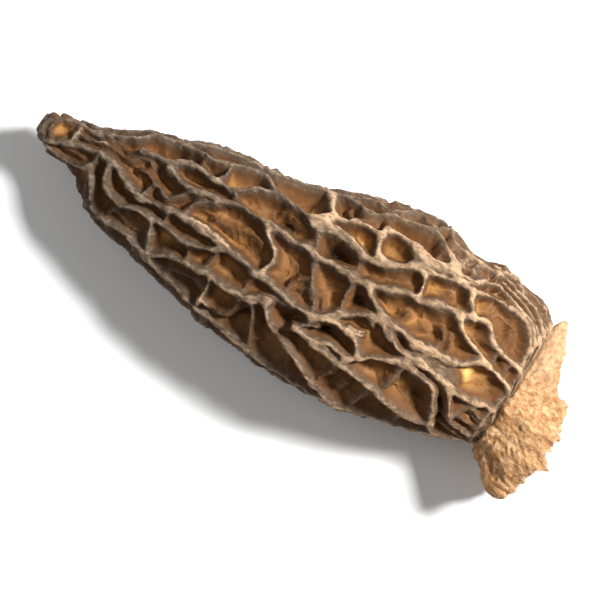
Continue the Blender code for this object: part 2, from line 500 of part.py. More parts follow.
def hollow_rows(angle):
    """The inside, from the torn edge back to the closed end under the nose."""
    end = torn_edge(angle)
    rows = [stem_point(end - 0.3, angle, STEM_WALL)]
    for x in np.linspace(HOLLOW_MOUTH_X, HOLLOW_NOSE_X, HOLLOW_ROWS):
        y, z, half_width, half_height = cap_section(np.array(x))
        stem = stem_point(np.full(len(angle), max(x, STEM_ROOT_X)), angle, STEM_WALL)
        bend = max((HOLLOW_NOSE_X + HOLLOW_NOSE_LENGTH - x) / HOLLOW_NOSE_LENGTH, 0.0)
        close = math.sqrt(max(1.0 - bend**2, 0.0))
        inside = pit_depth(np.array(x)) + WALL
        cap = oval(x, y, z, (half_width - inside) * close, (half_height - inside) * close, angle)
        stem[:, 0] = x
        in_stem = float(smoothstep(np.array(x), HOLLOW_NARROWS_X, STEM_ROOT_X))
        rows.append(cap * (1 - in_stem) + stem * in_stem)
    return rows[:-1]


def closed_surface():
    """Points and faces of the whole body: nose, cap, stem, torn edge and hollow in one skin."""
    angle = np.linspace(0.0, 2 * math.pi, AROUND, endpoint=False)
    rows = [*cap_rows(angle, net()), *stem_rows(angle), *hollow_rows(angle)]
    middle, height = (float(value) for value in cap_section(np.array(NOSE_X))[:2])
    inner_y, inner_z = (float(value) for value in cap_section(np.array(HOLLOW_NOSE_X))[:2])
    points = np.concatenate([[(NOSE_X, middle, height)], *rows, [(HOLLOW_NOSE_X, inner_y, inner_z)]])
    faces = []
    for column in range(AROUND):
        after = (column + 1) % AROUND
        faces.append((0, 1 + after, 1 + column))
        for row in range(len(rows) - 1):
            here, there = 1 + row * AROUND, 1 + (row + 1) * AROUND
            faces.append((here + column, here + after, there + after, there + column))
        last = 1 + (len(rows) - 1) * AROUND
        faces.append((last + column, last + after, len(points) - 1))
    return points, faces


def thinned(points, faces, triangles):
    """The same surface with far fewer triangles, kept where the ribs need them."""
    mesh = bpy.data.meshes.new("morel_dense")
    mesh.from_pydata([tuple(point) for point in points * MM], [], faces)
    dense = bpy.data.objects.new("morel_dense", mesh)
    bpy.context.scene.collection.objects.link(dense)
    split = dense.modifiers.new("triangles", "TRIANGULATE")
    split.quad_method = "SHORTEST_DIAGONAL"
    count = 2 * sum(len(face) == 4 for face in faces) + sum(len(face) == 3 for face in faces)
    thin = dense.modifiers.new("thin", "DECIMATE")
    thin.ratio = triangles / count
    graph = bpy.context.evaluated_depsgraph_get()
    result = bpy.data.meshes.new_from_object(dense.evaluated_get(graph))
    bpy.data.objects.remove(dense, do_unlink=True)
    bpy.data.meshes.remove(mesh)
    return result


def rest_on_surface(mesh):
    """Cuts the lowest crests flat and puts the middle of the body over the origin."""
    place = np.empty(len(mesh.vertices) * 3)
    mesh.vertices.foreach_get("co", place)
    place = place.reshape(-1, 3)
    place[:, 2] = np.where(place[:, 2] < WORN_HEIGHT * MM, 0.0, place[:, 2])
    middle = (place.min(axis=0) + place.max(axis=0)) / 2
    place[:, :2] -= middle[:2]
    mesh.vertices.foreach_set("co", place.reshape(-1))
    mesh.update()


def matte_material(name, colour, roughness):
    material = bpy.data.materials.new(name)
    material.use_nodes = True
    shader = material.node_tree.nodes["Principled BSDF"]
    shader.inputs["Base Color"].default_value = (*colour, 1.0)
    shader.inputs["Roughness"].default_value = roughness
    shader.inputs["Metallic"].default_value = 0.0
    return material


def build_morel():
    points, faces = closed_surface()
    mesh = thinned(points, faces, TRIANGLES)
    rest_on_surface(mesh)
    mesh.name = "morel"
    mesh.materials.append(matte_material("dried_morel", COLOUR, ROUGHNESS))
    mesh.shade_smooth()
    mesh.set_sharp_from_angle(angle=math.radians(SHARP_ANGLE))
    morel = bpy.data.objects.new("morel", mesh)
    bpy.context.scene.collection.objects.link(morel)


clear_scene()
build_morel()
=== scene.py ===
"""Dresses the dried black morel: its fine rib net, torn stem, skin, floor, light and camera.

Shapes are worked out in millimetres, in the part's own layout: X from the nose to the torn stem, Y across and
Z up. They are moved to the part's place and turned into metres when a mesh is made.
"""

import itertools
import math
import random

import bpy
import numpy as np
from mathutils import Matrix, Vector


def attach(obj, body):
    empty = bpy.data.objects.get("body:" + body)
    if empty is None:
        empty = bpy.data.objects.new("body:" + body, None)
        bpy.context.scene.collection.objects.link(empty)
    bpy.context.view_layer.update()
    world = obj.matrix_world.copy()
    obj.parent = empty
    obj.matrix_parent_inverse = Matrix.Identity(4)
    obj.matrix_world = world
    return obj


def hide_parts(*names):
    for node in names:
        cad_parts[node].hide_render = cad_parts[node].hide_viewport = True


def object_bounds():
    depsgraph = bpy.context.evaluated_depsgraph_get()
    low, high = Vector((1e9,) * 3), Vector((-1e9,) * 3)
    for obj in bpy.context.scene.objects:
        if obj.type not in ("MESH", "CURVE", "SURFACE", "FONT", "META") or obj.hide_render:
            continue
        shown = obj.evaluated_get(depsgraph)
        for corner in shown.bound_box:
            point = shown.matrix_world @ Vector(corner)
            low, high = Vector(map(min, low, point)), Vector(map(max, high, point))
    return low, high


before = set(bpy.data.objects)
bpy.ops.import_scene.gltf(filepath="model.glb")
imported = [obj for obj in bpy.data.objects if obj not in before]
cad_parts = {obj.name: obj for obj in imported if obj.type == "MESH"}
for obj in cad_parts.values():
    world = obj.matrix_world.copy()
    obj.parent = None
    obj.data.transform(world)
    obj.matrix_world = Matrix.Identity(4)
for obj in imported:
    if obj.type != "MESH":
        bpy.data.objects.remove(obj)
CAD_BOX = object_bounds()

MM = 0.001

# The body, as the part has it
NOSE_X = -29.1
NOSE_LENGTH = 2.6
MARGIN_X = 26.1
STEM_ROOT_X = 26.7
PIT_DEPTH = 2.2
NOSE_DEPTH_SHARE = 0.5
WALL = 1.0
STEM_WALL = 0.8
SECTION_POWER = 2.25
SEED = 7

# Pits get shallower between these two places, down to this share of the depth
MARGIN_DEPTH_SHARE = 0.68
SHALLOWS_X = (16.0, 24.0)

# The hollow: where it ends under the nose, over what length it closes, where it narrows and starts
HOLLOW_NOSE_X = -20.0
HOLLOW_NOSE_LENGTH = 5.0
HOLLOW_NARROWS_X = 22.3
HOLLOW_MARGIN_X = 25.8

# Broad dents of the drying cap: share of the size, waves round, waves along, start. None at the nose.
DENTS = [(0.020, 2, 0.21, 0.0), (0.012, 3, -0.33, 1.0)]
DENTS_FADE_X = (-24.0, -14.0)

# Lengthwise folds of the stem: depth, folds round, twist along it, start. The inside follows them in part.
STEM_FOLDS = [(0.28, 5, 0.0, 0.5), (0.20, 8, 0.35, 0.0)]
FOLD_INSIDE = 0.35

# The last ring of the part's torn edge: how far past the edge, how deep in the wall
PART_RIM = (0.12, 0.30)

# Crests lower than this are worn flat
WORN_HEIGHT = 0.05

# Shape of a rib: a crest that drops towards its edges, then sides that run out. A low rib is rounder. Where
# ribs run together they level off above the knee.
CREST_HALF = 0.22
CROWN_SHARE = 0.9
CROWN_DROP = 0.2
CROWN_CURVE = 1.4
CREST_ROUND = 0.05
LOW_RIB_ROUND = 0.8
SIDE_REACH = 0.55
SIDE_REACH_PER_HALF = 2.1
SIDE_CURVE = 2.0
CORNER_POWER = 3.2
CREST_KNEE = 0.8
NEIGHBOUR = 2.6
PALE_BLUR = 0.05

# The lip that leans over a pit: how far, at what height on the rib, over what share of it
LIP = 0.04
LIP_AT = 0.86
LIP_SPREAD = 0.1

# Relief of the skin as noise: how much, over what length, seed
WANDER = [(0.18, 1.7, 1), (0.11, 0.65, 4)]
SWELL = [(0.7, 1.9, 7)]
SWELL_LIMITS = (0.45, 1.9)
WORN = [(0.13, 3.0, 11)]
WORN_FINE = [(0.04, 1.2, 12)]
MOST_WORN = 0.3
PIT_BUMPS = [(0.20, 1.8, 14), (0.09, 0.8, 15)]
GRAIN = [(0.02, 0.35, 16)]
LEAN = [(0.26, 5.0, 20), (0.13, 2.2, 23)]
SAG = [(0.16, 2.1, 51)]
FRAY = [(0.085, 0.55, 43), (0.051, 0.3, 44)]
MARGIN_WAVE = [(0.45, 3.0, 71)]
MARGIN_WAVES_X = (22.5, 26.1)
MARGIN_CRESTS = 0.15

# Fine ripples along the ribs, in patches
RIPPLE = 0.045
RIPPLE_GAP = 0.38
RIPPLE_WANDER = [(2.2, 1.3, 41)]
RIPPLE_PATCHES = [(0.8, 2.0, 42)]

# Veins on the pit floors: height, then their share, mesh size, seed and half width
VEIN = 0.16
VEINS = [(1.0, 1.7, 64, 0.13), (0.6, 0.9, 65, 0.16)]
VEIN_BEND = [(0.5, 1.5, 60)]
VEIN_FADE = 1.4
CRUMPLED_MORE = 1.2
DARK_DEPTH = 0.65

# The stem starts tucked under the margin and thins out where its edge reaches furthest
STEM_START_X = 25.4
STEM_TUCK = 0.9
STEM_TUCK_SHARES = (0.04, 0.20)
STEM_FIBRE = [(0.13, 0.7, 31)]
STEM_LUMPS = [(0.11, 0.5, 32), (0.14, 2.0, 33)]
STEM_THIN = 0.55
STEM_THIN_X = (32.6, 33.9)
STEM_RIM = [(0.10, 0.28), (0.02, STEM_WALL - 0.15)]
STEM_LIP = 0.25
STEM_BACK_SHARE = 0.92
RIM_CREAM = 0.6

# The cap's fold behind its margin: how deep, over which rows, its marks there
MARGIN_INSET = 0.5
MARGIN_SHARES = (0.3, 0.65, 1.0)
BEHIND_MARGIN = {"crest": 0.9, "pale": 0.6}

# Streaks that fan out over the stem: height, centre, how many, where they start, seed
STREAK = 0.15
FAN_CENTRE = (27.0, 2.5)
FAN_SPOKES = 9.0
FAN_STARTS = (2.0, 4.5)
FAN_SEED = 34

# Rows and columns of points before thinning, and the most triangles kept
AROUND = 640
NOSE_ROWS = 30
NOSE_BEND = 0.06
CAP_ROWS = 560
HOLLOW_ROWS = 60
STEM_ROWS = 150
STEM_BACK_ROWS = 40
CAP_TRIANGLES = 196000
STEM_TRIANGLES = 98000

# Outline of the cap: x, highest y, lowest y, top z, bottom z
CAP_SECTIONS = [
    (-26.7, 1.8, -3.4, 7.9, 3.3),
    (-24.0, 2.5, -3.5, 8.4, 2.8),
    (-22.7, 3.1, -4.1, 9.0, 2.4),
    (-21.3, 4.1, -5.3, 9.7, 1.9),
    (-18.7, 5.6, -6.5, 10.8, 0.9),
    (-16.0, 6.4, -6.8, 11.7, 0.1),
    (-13.3, 7.9, -7.1, 12.5, -0.3),
    (-8.0, 9.1, -8.1, 13.8, -0.4),
    (-2.7, 10.1, -8.8, 14.8, -0.4),
    (0.0, 11.1, -8.9, 15.3, -0.4),
    (2.7, 12.5, -8.9, 15.7, -0.4),
    (8.0, 14.3, -8.5, 16.3, -0.4),
    (12.0, 14.9, -8.0, 16.4, -0.4),
    (16.0, 14.1, -6.9, 15.9, -0.4),
    (18.7, 14.6, -5.9, 15.2, -0.3),
    (21.3, 14.1, -4.9, 14.2, 0.0),
    (24.0, 13.7, -3.7, 12.8, 0.9),
    (26.1, 12.2, -2.7, 11.6, 2.1),
]

# The stub of the stem, in the same order
STEM_SECTIONS = [
    (26.1, 6.4, -2.6, 11.0, 2.2),
    (28.3, 6.6, -4.0, 11.1, 1.9),
    (30.4, 6.4, -5.6, 11.3, 1.5),
    (31.7, 6.1, -5.4, 11.3, 1.5),
    (34.0, 5.4, -4.6, 11.0, 1.7),
]

# The pointed flap beside the stem: x, how far it stands out; its place and spread round the stem, degrees
FLAP = [(26.1, 5.6), (26.8, 6.9), (27.6, 5.9), (28.3, 4.4), (29.1, 2.6), (30.4, 0.3), (31.0, 0.0)]
FLAP_ANGLE = 6.0
FLAP_SPREAD = 13.0

# The torn end of the stem: angle in degrees (0 at +Y, 90 on top), x of the edge
TORN_EDGE = [
    (0, 31.6), (25, 31.9), (50, 32.6), (70, 32.9), (84, 32.7), (97, 33.8), (108, 32.6), (140, 32.3),
    (165, 31.7), (185, 31.2), (215, 32.0), (245, 32.7), (262, 31.9), (290, 32.5), (320, 31.7), (345, 32.2),
]

# Its small teeth: size, how many round, start
TEETH = [(0.16, 23, 1.0), (0.1, 41, 0.0), (0.07, 67, 2.0)]

# Net of the upper side. Each rib: share of the pit depth, paleness, half width, points seen from above.
RIBS = [
    # the nose
    (1, 0.1, 0.22, [(-25.5, 1.5), (-26.6, 1.4), (-27.6, 0.9), (-28.3, 0.2), (-28.7, -0.9), (-28.4, -1.8),
        (-27.5, -2.6), (-26.2, -3), (-24.8, -3), (-23.4, -2.7), (-22.4, -2.2)]),
    (1, 0.1, 0.24, [(-26.6, 1.3), (-25.5, 1.5), (-24.4, 1.4), (-23.4, 1.7), (-22.4, 2.3)]),
    (1, 0.1, 0.2, [(-25.5, 2.1), (-24, 2.2), (-22.9, 2.7), (-22, 3.2), (-21, 4), (-20, 4.6), (-19, 5.1),
        (-18, 5.3)]),
    # outermost ribs of the +Y side
    (1, 0.2, 0.24, [(-16, 5.9), (-14.6, 6.7), (-13.4, 7.3), (-12.2, 7.8), (-10.7, 8.1), (-9, 8.4),
        (-7.5, 8.7), (-5.8, 8.9), (-4.4, 9.3), (-3, 9.7), (-1.6, 10.1), (-0.3, 10.5), (1, 10.9), (2, 11.1),
        (2.8, 11.2), (3.4, 11), (4.5, 11.5), (5.3, 11.9), (6.6, 12.3), (8, 12.8), (9.4, 13.1), (10.9, 13.4),
        (12, 12.9), (13, 12.3), (13.7, 11.6), (14.5, 11), (15.4, 10.4)]),
    (0.95, 0.2, 0.24, [(0.6, 11), (2, 11.8), (3.2, 12.3), (5, 12.7), (6.3, 13), (7.1, 13.6), (8, 14),
        (8.8, 14.1), (9.6, 13.8), (10.3, 13.5), (11, 14.2), (12, 14.5), (12.7, 13.8), (14.2, 13.4),
        (16, 13.3)]),
    # long ribs from nose to margin, from the +Y edge across
    (1, 0.1, 0.24, [(-23.4, 1.9), (-22.4, 2.4), (-21.3, 2.8), (-20.3, 3.3), (-19.6, 4.1), (-19, 4.7),
        (-18.2, 5.2), (-17, 5.5), (-16, 5.9), (-14.8, 6.1), (-13.3, 6.2), (-12, 6.4), (-11, 6.8), (-10, 7.2),
        (-9, 7.7), (-8, 8.1), (-7, 8.2), (-6, 7.8), (-4.8, 7.3), (-3, 7.1), (-1.4, 7), (0, 6.9)]),
    (1, 0.3, 0.4, [(0, 6.9), (1.2, 7), (2.2, 7.2), (3.2, 7.4), (4.2, 7.2), (5.2, 6.9), (6.4, 6.8), (7.5, 7),
        (8.3, 7.4), (9.2, 8), (10.2, 8.6), (11.2, 9.1), (12.2, 9.3)]),
    (1, 0.5, 0.26, [(12.2, 9.3), (13.4, 9.6), (14.6, 10.1), (16, 10.3), (17, 10.4), (18, 10.7), (19.2, 10.9),
        (20.6, 11.1), (22, 11.2), (23.2, 11), (24.3, 10.3), (25.1, 9.3), (25.6, 8.3), (26, 7.2)]),
    (1, 0.1, 0.26, [(-18.7, 2.9), (-17.6, 3.2), (-16.4, 3.2), (-15.5, 3.7), (-14.6, 4.3), (-13.4, 4.7),
        (-12, 4.5), (-10.6, 4.4), (-9.4, 4.6), (-8.4, 5.1), (-7.5, 5.9), (-6.5, 6.6), (-5.5, 7),
        (-4.6, 7.1)]),
    (1, 0.1, 0.28, [(-15.6, 2.9), (-14.3, 2.4), (-13, 2.3), (-12, 2.5), (-11, 2.7), (-10, 2.9), (-9, 3.2),
        (-8, 3.6), (-7, 3.9), (-5.8, 3.9), (-4.4, 4), (-3, 4)]),
    (1, 0.3, 0.44, [(-3, 4), (-1.4, 4.1), (0.4, 4.1), (2.2, 4.2), (4, 4.3), (5.8, 4.3), (7.2, 4.4),
        (8.3, 4.7), (9.4, 5.3), (10.6, 5.8), (11.8, 6.2), (13.2, 6.4), (14.4, 6.7), (15.4, 7.2), (16.4, 7.7),
        (17.6, 7.8), (18.9, 8)]),
    (1, 0.5, 0.34, [(8, 4.6), (8.8, 4), (9.8, 3.4), (11, 3), (12.2, 2.7), (13.6, 2.6), (15.2, 2.4)]),
    (1, 0.7, 0.34, [(15.2, 2.4), (16.6, 2.6), (18.4, 2.9), (19.9, 3), (20.7, 3.4), (21.3, 4.1), (22, 4.7),
        (22.7, 4.9)]),
    (1, 0.3, 0.28, [(7.2, 0.4), (8, 1), (9, 1.6), (10.2, 2.1), (11.2, 2.2), (12.2, 1.8), (13.2, 1.3),
        (14.2, 0.9), (15.4, 0.9), (16.8, 1.1)]),
    (1, 0.8, 0.32, [(16.8, 1.1), (18.2, 1), (19.6, 0.9), (21.2, 0.7), (22.8, 0.6), (24, 1), (25.2, 1.3),
        (26.1, 1.4)]),
    (1, 0.1, 0.28, [(-27.2, -2.1), (-26, -1.6), (-25, -1), (-24, -0.5), (-23, -0.2), (-22, 0), (-21, 0),
        (-20, -0.2), (-19, -0.8), (-18, -1.1), (-17, -1.5), (-16.2, -1.6), (-15, -1.3), (-14, -0.9),
        (-13, -0.8)]),
    (1, 0.2, 0.38, [(-13, -0.8), (-11.6, -0.6), (-10, -0.5), (-8.4, -0.6), (-6.6, -0.7), (-5, -0.8),
        (-3.4, -0.7), (-2, -0.8), (-0.6, -1.1), (1, -1.3), (2.6, -1.4), (4.2, -1.4), (5.2, -1.3)]),
    (1, 0.8, 0.34, [(5.2, -1.3), (6.2, -1), (7.2, -0.6), (8.2, -0.5), (9.2, -0.7), (10.1, -1), (10.8, -1.5),
        (11.3, -2.1)]),
    (1, 0.5, 0.3, [(5.8, -1), (6.5, -0.3), (7.2, 0.4)]),
    (1, 0.5, 0.28, [(10.4, -3.2), (11.3, -2.3), (12.2, -1.6), (13.2, -1), (14.2, -0.4), (15.2, 0),
        (16.4, 0.1), (17.8, -0.1), (19, -0.2), (19.9, -0.6), (20.3, -1.4), (20.8, -2.2), (21.2, -3),
        (21.5, -3.7), (22.3, -4.5)]),
    (1, 0.1, 0.28, [(-20.4, -0.3), (-20.5, -1), (-20.3, -1.8), (-19.9, -2.5), (-19.4, -3), (-18.5, -3.2),
        (-17.7, -3.3), (-16.8, -3.1), (-15.8, -2.8), (-14.8, -2.6), (-13.8, -2.7), (-12.8, -2.6),
        (-11.4, -2.5), (-10, -2.7), (-9, -2.5), (-8, -2.1), (-7, -1.7), (-6, -1)]),
    (1, 0.4, 0.26, [(4.5, -3.3), (5.1, -3.5), (6, -3.5), (7, -3.3), (8, -2.9), (9, -2.8), (10, -2.9),
        (10.7, -3.1)]),
    (1, 0.3, 0.26, [(4.5, -3.3), (6, -3.7), (8, -3.8), (10, -3.9), (12, -4), (14, -4), (15.6, -4.2),
        (17, -4.5), (18.6, -4.6), (20, -4.3), (20.9, -3.9), (21.5, -3.6)]),
    (1, 0.3, 0.36, [(-12.4, -6.3), (-11.7, -5.8), (-11, -5.3), (-10, -4.8), (-9, -4.5), (-8, -4.2),
        (-6.8, -4.1), (-5.4, -4), (-4, -4.1), (-2.8, -4.1), (-1.8, -3.8), (-0.9, -3.3), (0, -2.8),
        (0.5, -2.7)]),
    (1, 0.4, 0.3, [(0.3, -2.9), (1, -3.6), (1.8, -4.3), (2.5, -4.9), (3.4, -5.2), (4.6, -5.5), (6, -6),
        (7.2, -6.5), (8.6, -7.1), (10.2, -7.5), (12, -7.7), (13.5, -7.6)]),
    (1, 0.1, 0.26, [(-22.4, -2.1), (-21.7, -2.6), (-21.1, -3.4), (-20.5, -4.4), (-19.8, -5.3), (-19, -5.7),
        (-17.8, -5.8), (-16.4, -5.6), (-15, -5.6), (-13.8, -5.8), (-12.2, -6.3)]),
    (1, 0.4, 0.34, [(-12.2, -6.3), (-11, -6.6), (-9.4, -6.9), (-7.5, -7.2), (-5.5, -7.5), (-3.7, -7.8),
        (-2, -8), (0, -8.2), (3.7, -8.4), (8, -8.2), (12, -7.8), (16, -6.8), (20, -5.5), (24, -3.7),
        (26.1, -2.7)]),
    (0.85, 0.1, 0.22, [(-22.4, -2.1), (-22.4, -1.2), (-22.1, -0.2)]),
    # cross ribs between the long ones, from the +Y edge across
    (0.85, 0.8, 0.18, [(-10.2, 7), (-10.2, 6.1), (-10.4, 5.3), (-10.6, 4.5)]),
    (0.6, 0.2, 0.2, [(-13.2, 6.1), (-13.2, 5.4), (-12.8, 4.7)]),
    (1, 1, 0.42, [(-0.4, 10.3), (0.2, 9.6), (0.8, 8.8), (0.9, 8.2), (0.6, 7.5), (0.2, 6.9)]),
    (0.98, 0.9, 0.28, [(0.8, 8.2), (0, 7.6), (-0.8, 7.1)]),
    (0.95, 1, 0.22, [(0.9, 8.6), (1.6, 8.6), (2.3, 8.9), (3, 9.4), (4, 9.7), (5, 9.7), (6.3, 9.6)]),
    (0.95, 1, 0.3, [(6.3, 10.5), (6.2, 9.9), (6.4, 9.2), (6.7, 8.5), (7.1, 7.9), (7.8, 7.4)]),
    (0.95, 0.9, 0.24, [(6.3, 10.5), (7.4, 10.8), (8.6, 10.9), (9.8, 10.9), (11, 10.8), (12.4, 10.7),
        (13.8, 10.9), (14.7, 10.9)]),
    (0.72, 0.3, 0.24, [(6.3, 10.5), (6.1, 11.2), (5.5, 11.9)]),
    (0.67, 0.3, 0.22, [(9.9, 10.6), (10.3, 9.9), (10.4, 9.3), (10.3, 8.8)]),
    (0.72, 0.3, 0.24, [(-15, 4), (-15.4, 3.2), (-14.9, 2.6)]),
    (0.77, 0.3, 0.26, [(-8.5, 5), (-8, 4.4), (-7.8, 3.8)]),
    (0.77, 0.4, 0.24, [(0.7, 6.7), (1.1, 5.9), (1.4, 5.1), (1.8, 4.4)]),
    (0.67, 0.2, 0.24, [(5.4, 6.7), (5.8, 6), (6.1, 5.3), (6.3, 4.6)]),
    (0.95, 1, 0.28, [(11.9, 9.2), (12.3, 8.5), (12.6, 7.8), (12.8, 7), (12.7, 6.4)]),
    (1, 0.9, 0.3, [(17.2, 10.4), (17.7, 9.6), (18.3, 8.8), (18.9, 8)]),
    (1, 0.9, 0.26, [(18.9, 8), (19.6, 8.3), (20.3, 8.5), (20.9, 8.2), (21.4, 7.6), (22.1, 7), (23, 6.7),
        (24.3, 6.6), (25.9, 6.3)]),
    (1, 1, 0.2, [(17.2, 7.7), (17.8, 7), (18.3, 6.4), (19, 6.1), (20, 5.8), (21, 5.5), (22, 5.2), (22.6, 4.9),
        (23.5, 4.8), (24.5, 4.6), (25.3, 4.4), (26, 3.8)]),
    (0.77, 0.4, 0.16, [(24.6, 6.5), (24.5, 5.7), (24.6, 4.7)]),
    (0.84, 0.2, 0.26, [(-10.8, -0.5), (-11.4, -0.1), (-11.6, 0.6), (-11.3, 1.3), (-10.7, 1.8), (-10, 2.1),
        (-9, 2.7), (-8.3, 3.4)]),
    (0.82, 0.1, 0.22, [(-16.2, -1.5), (-16.3, -0.5), (-15.9, 0.3), (-15.2, 0.6), (-14.5, 0.2), (-13.9, 0.1),
        (-13.4, 0.4), (-13, 1), (-12.5, 1.7), (-11.9, 2.2), (-11.2, 2.6)]),
    (0.72, 0.4, 0.2, [(-18, 0.7), (-17.3, 0.9), (-16.6, 0.9), (-15.9, 0.5)]),
    (0.95, 0.9, 0.22, [(-3.6, 3.7), (-2.8, 2.8), (-2, 2.2), (-1.5, 1.5), (-1.3, 0.9), (-1.5, -0.3)]),
    (0.82, 0.4, 0.28, [(1.9, 3.8), (2.4, 2.8), (2.9, 2), (3.4, 1.3), (4, 0.6), (4.8, -0.3), (5.2, -0.9)]),
    (0.77, 0.4, 0.2, [(6.6, 4), (6.6, 3), (6.6, 2.2), (6.9, 1.5), (7.2, 0.8)]),
    (0.77, 0.3, 0.3, [(15.8, 0.1), (15.9, -1), (15.8, -2.2), (15.7, -3.2), (15.5, -4.1)]),
    (0.72, 0.3, 0.22, [(-12.8, -0.8), (-12.7, -1.6), (-12.9, -2.5)]),
    (0.72, 0.2, 0.3, [(-17.7, -3.3), (-17.9, -4.4), (-18.1, -5.7)]),
    (0.9, 0.8, 0.36, [(-13.8, -2.8), (-13.4, -3.8), (-13, -4.8), (-12.4, -5.8)]),
    (0.67, 0.3, 0.24, [(-9.3, -2.5), (-9.1, -3.2), (-8.8, -3.8), (-8.3, -4.2)]),
    (0.72, 0.3, 0.24, [(-6.6, -1.5), (-6.4, -2.5), (-6.5, -3.4), (-6.7, -4.1)]),
    (0.62, 0.2, 0.24, [(-2.1, -0.9), (-2, -2), (-2.2, -3), (-2.4, -4)]),
    (0.92, 0.9, 0.15, [(-5.5, -4.1), (-5.3, -4.8), (-5.2, -5.8), (-5.1, -6.9), (-5, -7.6)]),
    (0.8, 0.7, 0.18, [(-0.7, -3.5), (-0.4, -4.4), (0.2, -5.1), (0.6, -6.2), (1.2, -7.2), (1.7, -8.3)]),
    (0.75, 0.3, 0.26, [(0.4, -2.7), (1.2, -2.2), (2, -1.9), (2.8, -1.6)]),
    (0.77, 0.3, 0.24, [(4.6, -3.3), (5, -2.5), (5.4, -1.5)]),
    (0.67, 0.3, 0.26, [(1.9, -4.4), (3, -4.5), (4, -4.1), (4.6, -3.5)]),
    (0.72, 0.3, 0.24, [(9.9, -3.9), (9.9, -5.2), (9.4, -6.3), (9, -7.2)]),
    (0.67, 0.3, 0.24, [(14.2, -4.1), (14.2, -5.6), (13.6, -7.3)]),
    (0.67, 0.3, 0.24, [(18.4, -4.7), (18.6, -5.3), (18.4, -6)]),
    (1, 0.5, 0.22, [(21, 0.5), (21.6, -0.3), (22.2, -1.2), (22.8, -2), (23.8, -2.4), (25.3, -2.4)]),
    (0.77, 0.5, 0.22, [(22.6, -1.8), (23.4, -0.8), (24.1, 0.2), (24.4, 1)]),
    # fine ribs that curve round the +Y shoulder down to the stem
    (0.95, 0.9, 0.18, [(17, 11.4), (18, 12.2), (19, 12.4), (20.2, 12.2), (21.4, 11.9), (22.6, 11.6),
        (23.8, 11.3), (24.7, 10.7), (25.5, 9.7), (26.1, 8.4)]),
    (0.95, 0.9, 0.14, [(19.4, 12.9), (21, 12.7), (22.2, 12.4), (23.4, 12), (24.4, 11.5), (25.3, 10.8),
        (26.1, 9.7)]),
    (0.95, 0.9, 0.14, [(16, 13.3), (17.6, 13.6), (19.2, 13.6), (21, 13.3), (22.6, 13), (24, 12.6),
        (25.1, 11.9), (26.1, 10.8)]),
    (0.95, 0.9, 0.14, [(17.6, 13.9), (19.2, 14.3), (21, 14.2), (22.8, 13.8), (24.4, 13.3), (25.5, 12.6),
        (26.1, 11.8)]),
]

